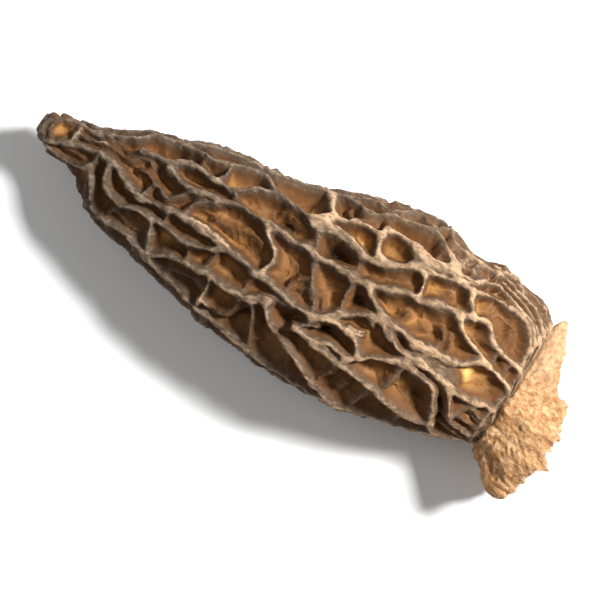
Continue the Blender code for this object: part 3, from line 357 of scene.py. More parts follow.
# Folds and wrinkles too fine for the part, in the same terms
FINE_RIBS = [
    (0.9, 0.1, 0.12, [(-27.7, 0.4), (-28, -0.5), (-27.8, -1.3), (-27.1, -1.9)]),
    (0.7, 1.2, 0.3, [(-22.5, 1.2), (-21.2, 1.2), (-19.9, 1.1), (-18.9, 1.6), (-18.3, 2.2), (-17.6, 2.4),
        (-17.1, 1.9)]),
    (0.7, 0.2, 0.22, [(-22.6, 2.2), (-21, 2.1), (-19.6, 2.2), (-18.7, 2.9)]),
    (0.6, 0.9, 0.2, [(-24.9, -1.9), (-24.2, -1.6), (-23.4, -1.8)]),
    (0.95, 0.3, 0.18, [(-25.4, 1.4), (-25.2, 0.7), (-25.3, 0), (-25.1, -0.9)]),
    (0.9, 0.3, 0.14, [(-25.1, 0.4), (-24.2, 0.5), (-23.3, 0.8), (-22.5, 1.2)]),
    (0.65, 0.3, 0.4, [(-10, -6.7), (-9.1, -6), (-8, -5.5), (-6.6, -5.4), (-5.5, -5.7)]),
    (0.8, 1, 0.34, [(-5.4, -6.9), (-4.8, -6.7), (-4.3, -6.8)]),
    (0.7, 0.5, 0.24, [(-4.4, -6.8), (-3.5, -7.2), (-2.6, -7), (-2, -6.4), (-1.8, -5.6), (-2, -4.6)]),
    (0.75, 0.9, 0.3, [(-1.9, -4.4), (-1.2, -3.9), (-0.5, -3.5)]),
    (0.8, 0.8, 0.14, [(5, -2.7), (5.5, -2.3), (6.2, -1.9)]),
    (0.55, 0.2, 0.22, [(-17, -3.4), (-16.2, -3.9), (-15.3, -4), (-14.3, -3.7)]),
    (0.6, 0.3, 0.2, [(-17.6, -4.4), (-16.6, -4.9), (-15.4, -5.1), (-14, -5)]),
    (0.55, 0.3, 0.18, [(-3.2, 6.7), (-2.2, 6.2), (-1.2, 6.1), (-0.2, 6.3)]),
    (0.6, 0.6, 0.16, [(1.6, 10.4), (2.4, 9.8), (3.4, 9.7)]),
    (0.55, 0.3, 0.2, [(-12.6, 7.3), (-11.6, 6.9), (-10.8, 7.2)]),
    (0.6, 0.4, 0.18, [(15.6, 8.9), (15.4, 8.1), (15.8, 7.5)]),
    (0.6, 0.6, 0.16, [(22.8, 9.8), (23.4, 9), (23.6, 8), (23.5, 7.1)]),
    (0.55, 0.5, 0.18, [(6.4, -4.2), (6.6, -5), (6.4, -5.8)]),
    (0.55, 0.3, 0.2, [(11.8, -4.4), (11.9, -5.4), (11.6, -6.6)]),
    (0.55, 0.3, 0.2, [(-8.6, 1.1), (-7.4, 1.4), (-6, 1.8), (-4.6, 2.2), (-3.4, 2.3)]),
    (1, 1, 0.1, [(-10.6, -0.1), (-9.4, 0), (-8.2, -0.1), (-7, -0.2), (-6, -0.4)]),
    (1, 0.9, 0.1, [(1.4, 7.5), (2.2, 7.8), (3, 7.9), (3.8, 7.8), (4.6, 7.4), (5.2, 7)]),
    (0.7, 0.4, 0.2, [(2.9, 9.6), (3.6, 10.3), (4.2, 10.9), (4.5, 11.4)]),
    (0.85, 1, 0.38, [(9.9, 10.5), (11, 10.2), (12.3, 10.2), (13.5, 10.6)]),
    (0.7, 0.5, 0.1, [(1.4, -0.6), (1.4, 0.3), (1.8, 1), (2.4, 1.4)]),
    (0.6, 1, 0.32, [(2, -0.4), (2.6, 0.1), (3, 0.5)]),
    (0.65, 0.5, 0.1, [(4.6, 0.9), (5.2, 0.7), (5.7, 0.2), (5.9, -0.4)]),
    (1, 1, 0.09, [(8.9, 0.1), (9.6, 0), (10.3, 0.2)]),
    (1, 1, 0.09, [(8.9, -0.3), (9.6, -0.4), (10.4, -0.3)]),
    (0.6, 0.4, 0.18, [(12.2, 3.2), (12.8, 3.8), (13, 4.6)]),
    (0.55, 0.4, 0.18, [(14, 3), (14.6, 3.7), (15.2, 4.4)]),
    (0.75, 0.6, 0.12, [(17.4, 2.9), (17.7, 3.7), (17.5, 4.6), (17, 5.4)]),
    (0.75, 0.6, 0.12, [(19, 3), (18.7, 3.8), (18.4, 4.5), (18.1, 5.4)]),
    (0.8, 0.8, 0.7, [(16.9, 1.9), (18.2, 1.9), (19.6, 1.8), (20.8, 1.5)]),
    (0.9, 0.3, 0.18, [(10.2, 2), (10.6, 1.4)]),
    (1, 1, 0.28, [(12.9, 12.6), (13.7, 12.2), (14.4, 11.6), (15, 10.9), (15.5, 10.4)]),
    (0.9, 1, 0.2, [(15.5, 10.5), (16.2, 10.9), (17, 11.3)]),
    (0.45, 0.8, 0.34, [(19.9, 10.9), (20.1, 9.8), (20.5, 8.6)]),
    (0.8, 0.8, 0.12, [(21.8, 13.6), (23, 13.4), (24.3, 12.9), (25.3, 12.2), (26.1, 11.3)]),
    (0.8, 0.4, 0.16, [(13.5, 12.9), (14.5, 12.7), (15.4, 13), (16.4, 12.8), (17.3, 13.2)]),
    (0.85, 0.7, 0.16, [(13.9, 12), (14.9, 12.2), (15.7, 12.5), (16.6, 12.1), (17.6, 12.3)]),
    (0.9, 0.9, 0.18, [(15, 11.1), (15.9, 11.4), (16.6, 11.2), (17.3, 11.5)]),
    (0.8, 0.6, 0.14, [(14.6, 13.4), (14.9, 12.7), (14.6, 12.1), (15.1, 11.4)]),
    (0.8, 0.8, 0.14, [(16.2, 13.3), (16, 12.7), (16.3, 12.2), (16, 11.4)]),
    (0.9, 0.9, 0.16, [(18.3, 13.4), (18.6, 14), (19.4, 14.2), (20.5, 14.2), (21.4, 13.9), (21.6, 13.4)]),
    (0.85, 0.5, 0.12, [(23, 6.7), (23.1, 5.9), (23, 4.9)]),
    (0.85, 0.5, 0.14, [(22.8, -3.2), (23.8, -3.1), (25, -2.9)]),
    (0.8, 0.6, 0.14, [(24.2, 0.2), (25, -0.3), (25.9, -0.4)]),
    (0.8, 0.6, 0.14, [(23.2, -1.4), (24.2, -1.3), (25.4, -1.4)]),
]

# Rule for the side that faces down: angles in degrees (180 at -Y, 270 straight down), where each rib starts
UNDER_RIBS = [
    (188, -27), (211, -17.5), (235, -28.4), (258, -19), (281, -28.4), (304, -17), (327, -28.4), (350, -21),
]
UNDER_WOBBLE = 4.5
UNDER_JOIN_LENGTH = 5.0
UNDER_RUNG_GAP = (3.4, 6.2)
UNDER_RUNG_SLANT = 2.0
UNDER_RUNG_HEIGHT = (0.7, 0.95)
UNDER_RUNG_WIDTH = (0.8, 1.5)
UNDER_EDGE_START = -23.0
EDGE_SEARCH = 0.7

# The ribs that run round the cap at its nose and its margin: x, paleness
END_RIBS = [(NOSE_X + 0.5, 0.1), (MARGIN_X - 0.25, 0.4)]
END_RIB_HEIGHT = 0.9

# Ribs drawn from above are kept this far in from the nose, and within this share of the half width
NOSE_EDGE = 0.15
SIDE_EDGE_SHARE = 0.985

# The tip of the nose has no pits, up to between these two places
BARE_NOSE_X = (NOSE_X + 0.15, NOSE_X + 0.6)

# Spots of the upper side, which lies above this height: x, y, radius, strength
UPPER_SIDE_Z = 7.0

# Pits whose floors get painted light, as of light shining through a thin floor
PAINTED_GLOW_SPOTS = [
    (21.8, 2.8, 1.8, 0.9), (-26.9, -0.2, 1, 0.6), (-9.5, 5.8, 1.6, 0.5), (-13, 3.3, 1.3, 0.45),
    (-6, 1, 1.8, 0.45), (-9, 1.6, 1.8, 0.5), (-12, -4.1, 1.2, 0.75), (-15.4, -4.3, 1.3, 0.45),
    (-7.6, -3.2, 1.1, 0.5), (-4.5, -2, 1.4, 0.45), (-4, -5.5, 1.5, 0.4), (5, 8.3, 1.6, 0.8),
    (8.3, 9.3, 1.2, 0.5), (10.8, 4.3, 1.2, 0.5), (14.3, 4.1, 1.5, 0.55), (14, 8.7, 1.5, 0.6),
    (19.1, 9.4, 1.4, 0.62), (19.4, 6.9, 1.2, 0.6), (13.5, -2.5, 1.7, 0.5), (17.4, -2.6, 1.4, 0.6),
    (7, -4.8, 1.4, 0.5), (10.5, 0.5, 1.3, 0.6), (19, 5, 1.3, 0.4), (-18.5, 1.4, 2, 0.5),
]

# Crumpled, paler skin
CRUMPLED = [(15, 12.4, 2.4, 1), (18.4, 12.8, 2.6, 1), (22, 12, 2.6, 0.7), (24.9, -1.4, 1.5, 0.8)]

# Deep pits, sunk further, whose floors get painted shade
DEEP_SHADED_PITS = [
    (24.3, 5.5, 0.9, 0.6), (19.1, -2.8, 0.8, 0.7), (-24.4, -0.3, 0.6, 0.6), (-23.4, 1.3, 0.5, 0.5),
    (20.3, 7.8, 0.5, 0.7), (13.4, 10.2, 0.7, 0.8), (23, 8.6, 1.8, 0.3), (15.2, 12.6, 1.3, 0.5),
    (18, 12.9, 1.4, 0.7), (21, 13, 1.3, 0.6), (23.4, 12, 1.1, 0.5), (3.5, 5.7, 1.6, 0.9),
    (-2, 5.4, 1.5, 0.7), (8.5, 2.3, 1.1, 0.9), (2, -5.3, 1.2, 0.8), (7.2, -2.3, 1.6, 0.9),
    (14, 1.8, 1, 0.8), (18, 0.4, 1, 0.8), (21.6, -1.5, 0.8, 0.9), (22.6, -3.2, 0.8, 0.9),
    (-16, 4.6, 1.2, 0.5), (9.6, 4, 0.8, 0.6), (-7.2, -5.9, 1.3, 0.6), (-0.8, -6.2, 0.9, 0.8),
    (3, -3, 1.2, 0.6), (-9.2, -3.7, 0.7, 0.6), (5, -4.4, 0.7, 0.4),
]

# Framing: what the camera looks at, the width of the view there, how the morel lies in it
AIM = (3.3, -0.6, 8.0)
VIEW_WIDTH = 61.3
VIEW_TURN = 35.0
CAMERA_HEIGHT = 520.0
SENSOR_WIDTH = 36.0

# Light in metres and watts: name, step from the aim in X and Y, height, size, power
LIGHTS = [("key", (0.22, 0.27), 0.37, 0.11, 6.2), ("fill", (-0.30, -0.10), 0.55, 0.35, 0.6)]
WORLD_STRENGTH = 0.24
FLOOR_SIZE = 3.0
FLOOR_COLOUR = (0.86, 0.86, 0.86, 1.0)

# Colours of the cap. Pairs run from the nose to the stem, except the two browns of the pit floors.
WARMER_X = (-20.0, 24.0)
FLOOR_BROWNS = ((0.112, 0.046, 0.014), (0.185, 0.084, 0.028))
FLOOR_BLOTCH = (0.07, 0.028, 0.009)
# Painted light shining through thin pit floors: amber, and gold where it is strongest
PAINTED_GLOW_AMBER = (0.4, 0.195, 0.056)
PAINTED_GLOW_GOLD = (0.74, 0.42, 0.13)
# Painted shade on the floors of the deep pits
PAINTED_DEEP_PIT_SHADE = (0.018, 0.008, 0.004)
WALL_BROWNS = ((0.082, 0.037, 0.014), (0.12, 0.052, 0.019))
CREST_BROWNS = ((0.084, 0.058, 0.039), (0.11, 0.069, 0.04))
# Painted highlight on the crest tops, from the nose to the stem
PAINTED_CREST_HIGHLIGHT = ((0.29, 0.218, 0.155), (0.34, 0.212, 0.126))
DUSTED = (0.52, 0.33, 0.185)
PAPERY = (0.52, 0.34, 0.2)
CREST_SPECK = (0.04, 0.024, 0.014)
VEIN_TAN = (0.38, 0.235, 0.128)
CAP_INSIDE = (0.35, 0.22, 0.12)

# Colours of the stem
STEM_TANS = ((0.43, 0.242, 0.113), (0.36, 0.19, 0.083))
STEM_SPECK = (0.25, 0.115, 0.043)
STEM_THREAD = (0.57, 0.362, 0.196)
STEM_STREAK = (0.27, 0.125, 0.049)
STEM_CREAM = (0.57, 0.385, 0.225)
STEM_INSIDE = (0.33, 0.19, 0.095)

SPECULAR = 0.12


def ramp(x, low, high):
    return np.clip((x - low) / (high - low), 0.0, 1.0)


def smoothstep(x, low, high):
    t = ramp(x, low, high)
    return t * t * (3.0 - 2.0 * t)


def through(points, x, column=1):
    """A smooth curve through the rows of a table, read at x."""
    table = np.array(points, float)
    known, value = table[:, 0], table[:, column]
    slope = np.gradient(value, known)
    i = np.clip(np.searchsorted(known, x) - 1, 0, len(known) - 2)
    step = known[i + 1] - known[i]
    t = ramp(x, known[i], known[i + 1])
    return (
        (2 * t**3 - 3 * t**2 + 1) * value[i]
        + (t**3 - 2 * t**2 + t) * step * slope[i]
        + (3 * t**2 - 2 * t**3) * value[i + 1]
        + (t**3 - t**2) * step * slope[i + 1]
    )


def section(table, x):
    """Centre and half sizes of the cross section at x: (y, z, half width, half height)."""
    high, low, top, bottom = (through(table, x, column) for column in (1, 2, 3, 4))
    return (high + low) / 2, (top + bottom) / 2, (high - low) / 2, (top - bottom) / 2


def nose_share(x):
    """1 behind the nose, falling to 0 at its end as on a round tip."""
    return np.sqrt(1.0 - (1.0 - ramp(x, NOSE_X, NOSE_X + NOSE_LENGTH)) ** 2)


def oval(x, y, z, half_width, half_height, angle):
    """Points at x on a slightly squared oval."""
    across, up = np.cos(angle), np.sin(angle)
    exponent = 2.0 / SECTION_POWER
    across = np.sign(across) * np.abs(across) ** exponent
    up = np.sign(up) * np.abs(up) ** exponent
    return np.stack([x + 0 * angle, y + half_width * across, z + half_height * up], axis=-1)


def cap_section(x):
    y, z, half_width, half_height = section(CAP_SECTIONS, x)
    share = nose_share(x)
    return y, z, half_width * share, half_height * share


def pit_depth(x):
    """How far pit floors lie under the crests: less in the slim nose and near the margin."""
    depth = np.minimum(PIT_DEPTH, NOSE_DEPTH_SHARE * cap_section(x)[3])
    return depth * (1.0 - (1.0 - MARGIN_DEPTH_SHARE) * smoothstep(x, *SHALLOWS_X))


def cap_skin(x, angle):
    """Points of the surface that the rib crests lie on."""
    y, z, half_width, half_height = cap_section(x)
    dent = sum(size * np.sin(waves * angle + along * x + start) for size, waves, along, start in DENTS)
    reach = 1.0 + dent * smoothstep(x, *DENTS_FADE_X) * np.sin(angle).clip(-1, 0) ** 2
    return oval(x, y, z, half_width * reach, half_height * reach, angle)


def on_top(points):
    """Lifts points seen from above on to the crest surface."""
    x, y = np.array(points, float).T
    middle, z, half_width, half_height = cap_section(np.maximum(x, NOSE_X + NOSE_EDGE))
    across = np.clip(np.abs(y - middle) / half_width, 0.0, SIDE_EDGE_SHARE)
    rise = (1.0 - across**SECTION_POWER) ** (1.0 / SECTION_POWER)
    side = np.sign(y - middle) * across * half_width
    return np.stack([x, middle + side, z + half_height * rise], axis=-1)


def smooth_line(points, rounds=2):
    """Rounds the corners of an open line and keeps its ends."""
    for _ in range(rounds):
        quarter = 0.75 * points[:-1] + 0.25 * points[1:]
        three_quarters = 0.25 * points[:-1] + 0.75 * points[1:]
        inner = np.stack([quarter, three_quarters], axis=1).reshape(-1, points.shape[1])
        points = np.concatenate([points[:1], inner, points[-1:]])
    return points


def edge_angles(stations, side):
    """The angles of the outermost ribs drawn from above, on the -Y side (-1) or the +Y side (1)."""
    x, y = np.concatenate([smooth_line(np.array(rib[-1], float)) for rib in RIBS]).T
    middle, _, half_width, _ = cap_section(stations)
    outermost = np.array([(side * y[np.abs(x - station) < EDGE_SEARCH]).max() for station in stations])
    across = np.clip((outermost - side * middle) / half_width, 0.0, SIDE_EDGE_SHARE)
    rise = np.degrees(np.arccos(across ** (SECTION_POWER / 2)))
    return 180.0 - rise if side < 0 else 360.0 + rise


def under_net(draw):
    """The ribs and cross ribs of the side that faces down, in the same terms as the tables."""
    stations = np.linspace(NOSE_X + 0.6, MARGIN_X - 0.2, 60)
    angles = []
    for mean, _ in UNDER_RIBS:
        long_wave, short_wave = draw.uniform(0, 2 * math.pi), draw.uniform(0, 2 * math.pi)
        wobble = np.sin(0.27 * stations + long_wave) + 0.6 * np.sin(0.71 * stations + short_wave)
        angles.append(mean + UNDER_WOBBLE * wobble)
    drawn = []
    for i, (_, start) in enumerate(UNDER_RIBS):
        parent = i - 1 if i % 2 else i
        apart = smoothstep(stations, start, start + UNDER_JOIN_LENGTH)
        angle = angles[parent] + (angles[i] - angles[parent]) * apart if i % 2 else angles[i]
        kept = stations > start
        drawn.append((1.0, 0.1, CREST_HALF, cap_skin(stations[kept], np.radians(angle[kept]))))
        angles[i] = angle
    borders = [edge_angles(stations, -1), *angles, edge_angles(stations, 1)]
    starts = [UNDER_EDGE_START, *(start + 3.0 for _, start in UNDER_RIBS), UNDER_EDGE_START]
    for i, (one, other) in enumerate(zip(borders, borders[1:])):
        x = max(starts[i], starts[i + 1]) + draw.uniform(0.0, 3.0)
        while x < MARGIN_X - 2.0:
            slant = draw.uniform(-UNDER_RUNG_SLANT, UNDER_RUNG_SLANT)
            across = np.linspace(0.0, 1.0, 5)
            at = x + slant * (across - 0.5) + draw.uniform(-0.5, 0.5) * np.sin(math.pi * across)
            angle = np.interp(at, stations, one) * (1 - across) + np.interp(at, stations, other) * across
            height = draw.uniform(*UNDER_RUNG_HEIGHT)
            half = CREST_HALF * draw.uniform(*UNDER_RUNG_WIDTH)
            drawn.append((height, 0.3, half, cap_skin(at, np.radians(angle))))
            x += draw.uniform(*UNDER_RUNG_GAP)
    return drawn


def net():
    """Every rib as (height share, paleness, half width, points in space)."""
    draw = random.Random(SEED)
    lines = [(*rib[:3], on_top(smooth_line(np.array(rib[3], float)))) for rib in RIBS + FINE_RIBS]
    lines += [(*rib[:3], smooth_line(rib[3], 1)) for rib in under_net(draw)]
    ring = np.radians(np.linspace(0, 360, 73))
    for x, pale in END_RIBS:
        lines.append((END_RIB_HEIGHT, pale, CREST_HALF, cap_skin(np.full(len(ring), x), ring)))
    return lines


def noise(points, size, seed):
    """Smooth noise, mostly within -1..1, with bumps about size across."""
    place = points / size + 17.31 * seed
    cell = np.floor(place).astype(np.int64)
    part = place - cell
    fade = part**3 * (part * (part * 6.0 - 15.0) + 10.0)
    total = np.zeros(len(points))
    for corner in itertools.product((0, 1), repeat=3):
        x, y, z = (cell + corner).T
        mixed = (x * 73856093) ^ (y * 19349663) ^ (z * 83492791)
        mixed = ((mixed ^ (mixed >> 13)) * 1274126177) & 0xFFFFFFFF
        mixed = ((mixed ^ (mixed >> 16)) * 2246822519) & 0xFFFFFFFF
        slope = np.stack([(mixed >> shift) & 255 for shift in (4, 12, 20)], axis=1) / 127.5 - 1.0
        weight = np.prod(np.where(corner, fade, 1.0 - fade), axis=1)
        total += weight * ((part - corner) * slope).sum(axis=1)
    return 1.6 * total


def creases(points, size, seed):
    """Noise folded over at zero, so that sharp lines run through it."""
    return np.abs(noise(points, size, seed))


def noise_vector(points, size, seed):
    return np.stack([noise(points, size, seed + i) for i in range(3)], axis=1)


def layered(points, table, kind=noise):
    """Layers of noise from a table, added up."""
    return sum(amount * kind(points, size, seed) for amount, size, seed in table)


def from_line(line, points):
    """For each point, its distance to an open line and the step to it from the line's nearest place."""
    nearest = np.full(len(points), np.inf)
    away = np.zeros_like(points)
    for start, end in zip(line, line[1:]):
        along = end - start
        share = ((points - start) @ along / max(along @ along, 1e-9)).clip(0, 1)
        step = points - start - share[:, None] * along
        gap = np.linalg.norm(step, axis=1)
        closer = gap < nearest
        nearest[closer] = gap[closer]
        away[closer] = step[closer]
    return nearest, away


def rib_profile(gap, height, half, swell):
    """How high a rib stands at a distance from its line: a sloping crest, then sides that run out."""
    wide = CROWN_SHARE * half * swell
    crown = 1.0 - CROWN_DROP * (gap / wide).clip(0, 1) ** CROWN_CURVE
    edge = CREST_ROUND + LOW_RIB_ROUND * (1.0 - height)
    beside = np.hypot(np.maximum(gap - wide, 0.0), edge) - edge
    fall = (beside / (SIDE_REACH + SIDE_REACH_PER_HALF * half)).clip(0, 1)
    return height * crown * (1.0 - fall) ** SIDE_CURVE


def rib_field(points, lines):
    """The net read at points of the crest surface.

    Returns how high each point stands (1 on a crest, 0 on a pit floor), how pale the ribs near it are, the
    unit step away from the nearest rib and the distance to it.
    """
    wandered = points + layered(points, WANDER, noise_vector)
    swell = (1.0 + layered(points, SWELL)).clip(*SWELL_LIMITS)
    count = len(points)
    total, pale_sum, weight_sum = np.zeros(count), np.zeros(count), np.full(count, 1e-9)
    nearest = np.full(count, np.inf)
    away = np.zeros_like(points)
    for height, pale, half, line in lines:
        low, high = line.min(axis=0) - NEIGHBOUR, line.max(axis=0) + NEIGHBOUR
        near = np.flatnonzero(((points > low) & (points < high)).all(axis=1))
        if not len(near):
            continue
        gap, step = from_line(line, wandered[near])
        closer = gap < nearest[near]
        nearest[near[closer]] = gap[closer]
        away[near[closer]] = step[closer]
        total[near] += rib_profile(gap, height, half, swell[near]) ** CORNER_POWER
        weight = (gap + PALE_BLUR) ** -4.0
        pale_sum[near] += weight * pale
        weight_sum[near] += weight
    share = total ** (1.0 / CORNER_POWER)
    room = 1.0 - CREST_KNEE
    share = np.where(share > CREST_KNEE, CREST_KNEE + room * np.tanh((share - CREST_KNEE) / room), share)
    away /= np.maximum(np.linalg.norm(away, axis=1, keepdims=True), 1e-6)
    return share, pale_sum / weight_sum, away, nearest


def row_normals(grid):
    """Outward normals of a grid whose rows run nose to stem and whose columns run round."""
    along = np.gradient(grid, axis=0)
    around = np.roll(grid, -1, axis=1) - np.roll(grid, 1, axis=1)
    normal = np.cross(around, along)
    return normal / np.maximum(np.linalg.norm(normal, axis=2, keepdims=True), 1e-9)


def along_skin(vectors, normal):
    """The part of each vector that lies in the skin."""
    return vectors - (vectors * normal).sum(axis=1, keepdims=True) * normal


def spots(points, table):
    """How strongly each point lies in one of the spots of a table, on the upper side only."""
    found = np.zeros(len(points))
    for x, y, radius, strength in table:
        gap = np.hypot(points[:, 0] - x, points[:, 1] - y) / radius
        found = np.maximum(found, strength * np.exp(-(gap**2)) * (points[:, 2] > UPPER_SIDE_Z))
    return found


def veins(points):
    """1 on the middle of a vein, 0 beside it."""
    bent = points + layered(points, VEIN_BEND, noise_vector)
    lines = [share * (1.0 - creases(bent, size, seed) / half) for share, size, seed, half in VEINS]
    return np.max(lines, axis=0).clip(0, 1)


def cap_relief(flat, share, gap, depth, deep_shaded_pits, vein):
    """How far each point of the cap sinks under the crest surface, and the bumps that rise from there."""
    floor = 1.0 - share
    worn = layered(flat, WORN, creases) + layered(flat, WORN_FINE)
    sunk = depth * (1.0 - share * (1.0 - worn.clip(0, MOST_WORN)))
    sunk += DARK_DEPTH * deep_shaded_pits * floor
    ripple = np.sin(2 * math.pi * gap / RIPPLE_GAP + layered(flat, RIPPLE_WANDER))
    flank = ramp(share, 0.25, 0.55) * ramp(share, 0.97, 0.87)
    sunk += RIPPLE * ripple * flank * (0.5 + layered(flat, RIPPLE_PATCHES)).clip(0, 1)
    sunk += layered(flat, SAG) * ramp(share, 0.6, 0.9)
    sunk -= VEIN * vein
    sunk += layered(flat, FRAY, creases) * ramp(share, 0.7, 0.9)
    return sunk, floor * layered(flat, PIT_BUMPS) + layered(flat, GRAIN)


def cap_outside(angle):
    """Rows of the cap's outer skin, and what its material needs to know at each point."""
    bend = np.linspace(NOSE_BEND, math.pi / 2, NOSE_ROWS)
    nose = NOSE_X + NOSE_LENGTH * (1 - np.cos(bend))
    rows = np.concatenate([nose, np.linspace(nose[-1], MARGIN_X, CAP_ROWS)[1:]])
    grid = np.stack([cap_skin(np.full(len(angle), x), angle) for x in rows])
    normal = row_normals(grid).reshape(-1, 3)
    flat = grid.reshape(-1, 3)
    share, pale, away, gap = rib_field(flat, net())
    share = np.maximum(share, 1.0 - smoothstep(flat[:, 0], *BARE_NOSE_X))
    depth = np.repeat(pit_depth(rows), len(angle))
    # Deep pits, which sink further and get painted shade, and crumpled skin
    deep_shaded_pits, crumpled = spots(flat, DEEP_SHADED_PITS), spots(flat, CRUMPLED)
    vein = veins(flat) * (VEIN_FADE * (1.0 - share)).clip(0, 1)
    sunk, rise = cap_relief(flat, share, gap, depth, deep_shaded_pits, (1.0 + CRUMPLED_MORE * crumpled) * vein)
    place = flat - normal * (sunk - rise)[:, None]
    place -= along_skin(layered(flat, LEAN, noise_vector), normal) * sunk[:, None]
    lip = LIP * np.exp(-(((share - LIP_AT) / LIP_SPREAD) ** 2))
    place += along_skin(away, normal) * (lip * np.minimum(depth / PIT_DEPTH, 1.0))[:, None]
    wave = layered(flat * (0.0, 1.0, 1.0), MARGIN_WAVE) + MARGIN_CRESTS * share
    place[:, 0] += smoothstep(flat[:, 0], *MARGIN_WAVES_X) * wave
    marks = {
        "crest": share,
        "pale": np.maximum(pale, crumpled),
        # painted light of thin pits, minus the painted shade of deep ones
        "painted_glow_and_shade": spots(flat, PAINTED_GLOW_SPOTS) - deep_shaded_pits,
        "vein": vein * (0.4 + crumpled),
        "inside": np.zeros(len(flat)),
    }
    return place.reshape(grid.shape), marks


def at_flap(angle, spread=FLAP_SPREAD):
    """1 at the middle of the stem's flap, falling to 0 round the stem."""
    turned = np.degrees(np.arctan2(np.sin(angle), np.cos(angle)))
    return np.exp(-(((turned - FLAP_ANGLE) / spread) ** 2))


def stem_point(x, angle, inward=0.0):
    """A point on the stem, with the flap at its side and soft folds along it."""
    y, z, half_width, half_height = section(STEM_SECTIONS, x)
    flap = through(FLAP, np.clip(x, FLAP[0][0], FLAP[-1][0])) * at_flap(angle)
    fold = sum(depth * np.sin(count * angle + twist * x + start) for depth, count, twist, start in STEM_FOLDS)
    if np.any(inward):
        flap, fold = 0.0, FOLD_INSIDE * fold
    out = fold - inward
    return oval(x, y, z, half_width + out + flap, half_height + out + 0.12 * flap, angle)


def torn_edge(angle):
    table = np.array(TORN_EDGE, float)
    ragged = sum(size * np.sin(count * angle + start) for size, count, start in TEETH)
    return np.interp(np.degrees(angle) % 360, table[:, 0], table[:, 1], period=360) + ragged


def hollow_ring(x, angle):
    """One ring of the hollow inside."""
    y, z, half_width, half_height = cap_section(x)
    stem = stem_point(np.full(len(angle), max(x, STEM_ROOT_X)), angle, STEM_WALL)
    bend = max((HOLLOW_NOSE_X + HOLLOW_NOSE_LENGTH - x) / HOLLOW_NOSE_LENGTH, 0.0)
    close = math.sqrt(max(1.0 - bend**2, 0.0))
    inside = pit_depth(x) + WALL
    cap = oval(x, y, z, (half_width - inside) * close, (half_height - inside) * close, angle)
    stem[:, 0] = x
    in_stem = smoothstep(x, HOLLOW_NARROWS_X, STEM_ROOT_X)
    return cap * (1 - in_stem) + stem * in_stem


def stem_outside(angle, end):
    """Rows of the stem's outer skin, with how cream and how streaked each point is."""
    shares = np.linspace(0, 1, STEM_ROWS)
    grid = np.stack([stem_point(STEM_START_X + (end - STEM_START_X) * share, angle) for share in shares])
    flat = grid.reshape(-1, 3)
    along, across = flat[:, 0] - FAN_CENTRE[0], flat[:, 1] - FAN_CENTRE[1]
    reach = np.hypot(along, across)
    spokes = np.stack([0.35 * reach, FAN_SPOKES * np.arctan2(across, along), 0.3 * flat[:, 2]], axis=1)
    streak = noise(spokes, 1.0, FAN_SEED) * smoothstep(reach, *FAN_STARTS)
    rise = layered(flat * (0.4, 1.0, 1.0), STEM_FIBRE) + layered(flat, STEM_LUMPS) + STREAK * streak
    free = smoothstep(shares, 0.0, 0.2)[:, None]
    tuck = STEM_TUCK * (1.0 - smoothstep(shares, *STEM_TUCK_SHARES))[:, None] * (1.0 - at_flap(angle))
    rise = free * rise.reshape(grid.shape[:2]) - tuck
    cream = at_flap(angle, 2.0 * FLAP_SPREAD) * smoothstep(1.0 - shares, 0.3, 0.6)[:, None]
    cream = np.maximum(cream, smoothstep(shares, 0.93, 1.0)[:, None])
    return grid + row_normals(grid) * rise[..., None], cream.ravel(), streak


def in_box(points, shift):
    """Moves points to the part's place and keeps them inside its box."""
    placed = points + shift
    placed[placed[..., 2] < WORN_HEIGHT, 2] = 0.0
    return placed.clip(*np.array(CAD_BOX) / MM)


def skin_object(name, rows, marks, material, triangles, poles=np.empty((0, 3))):
    """One closed skin from rings of points, which poles close; without them the last ring joins the first.

    It is thinned where it is smooth, and then kept inside the part's box.
    """
    count, first = rows.shape[1], len(poles) // 2
    points = np.concatenate([poles[:first], rows.reshape(-1, 3), poles[first:]])
    ring = [(a, (a + 1) % count) for a in range(count)]
    starts = list(range(first, len(points) - first, count))
    pairs = zip(starts, starts[1:] if first else starts[1:] + starts[:1])
    faces = [(here + a, here + b, there + b, there + a) for here, there in pairs for a, b in ring]
    if first:
        faces += [(0, 1 + b, 1 + a) for a, b in ring]
        faces += [(starts[-1] + a, starts[-1] + b, len(points) - 1) for a, b in ring]
    mesh = bpy.data.meshes.new(name)
    mesh.from_pydata((points * MM).tolist(), [], faces)
    for mark, values in marks.items():
        layer = mesh.attributes.new(mark, "FLOAT", "POINT")
        layer.data.foreach_set("value", np.pad(values, first, mode="edge"))
    mesh.shade_smooth()
    mesh.materials.append(material)
    obj = bpy.data.objects.new(name, mesh)
    bpy.context.scene.collection.objects.link(obj)
    thin = obj.modifiers.new("thin", "DECIMATE")
    thin.ratio = triangles / sum(len(face) - 2 for face in faces)
    graph = bpy.context.evaluated_depsgraph_get()
    obj.data = bpy.data.meshes.new_from_object(obj.evaluated_get(graph))
    obj.modifiers.clear()
    points = np.array([vertex.co for vertex in obj.data.vertices])
    obj.data.vertices.foreach_set("co", points.clip(*CAD_BOX).ravel())
    obj.data.update()
    return obj


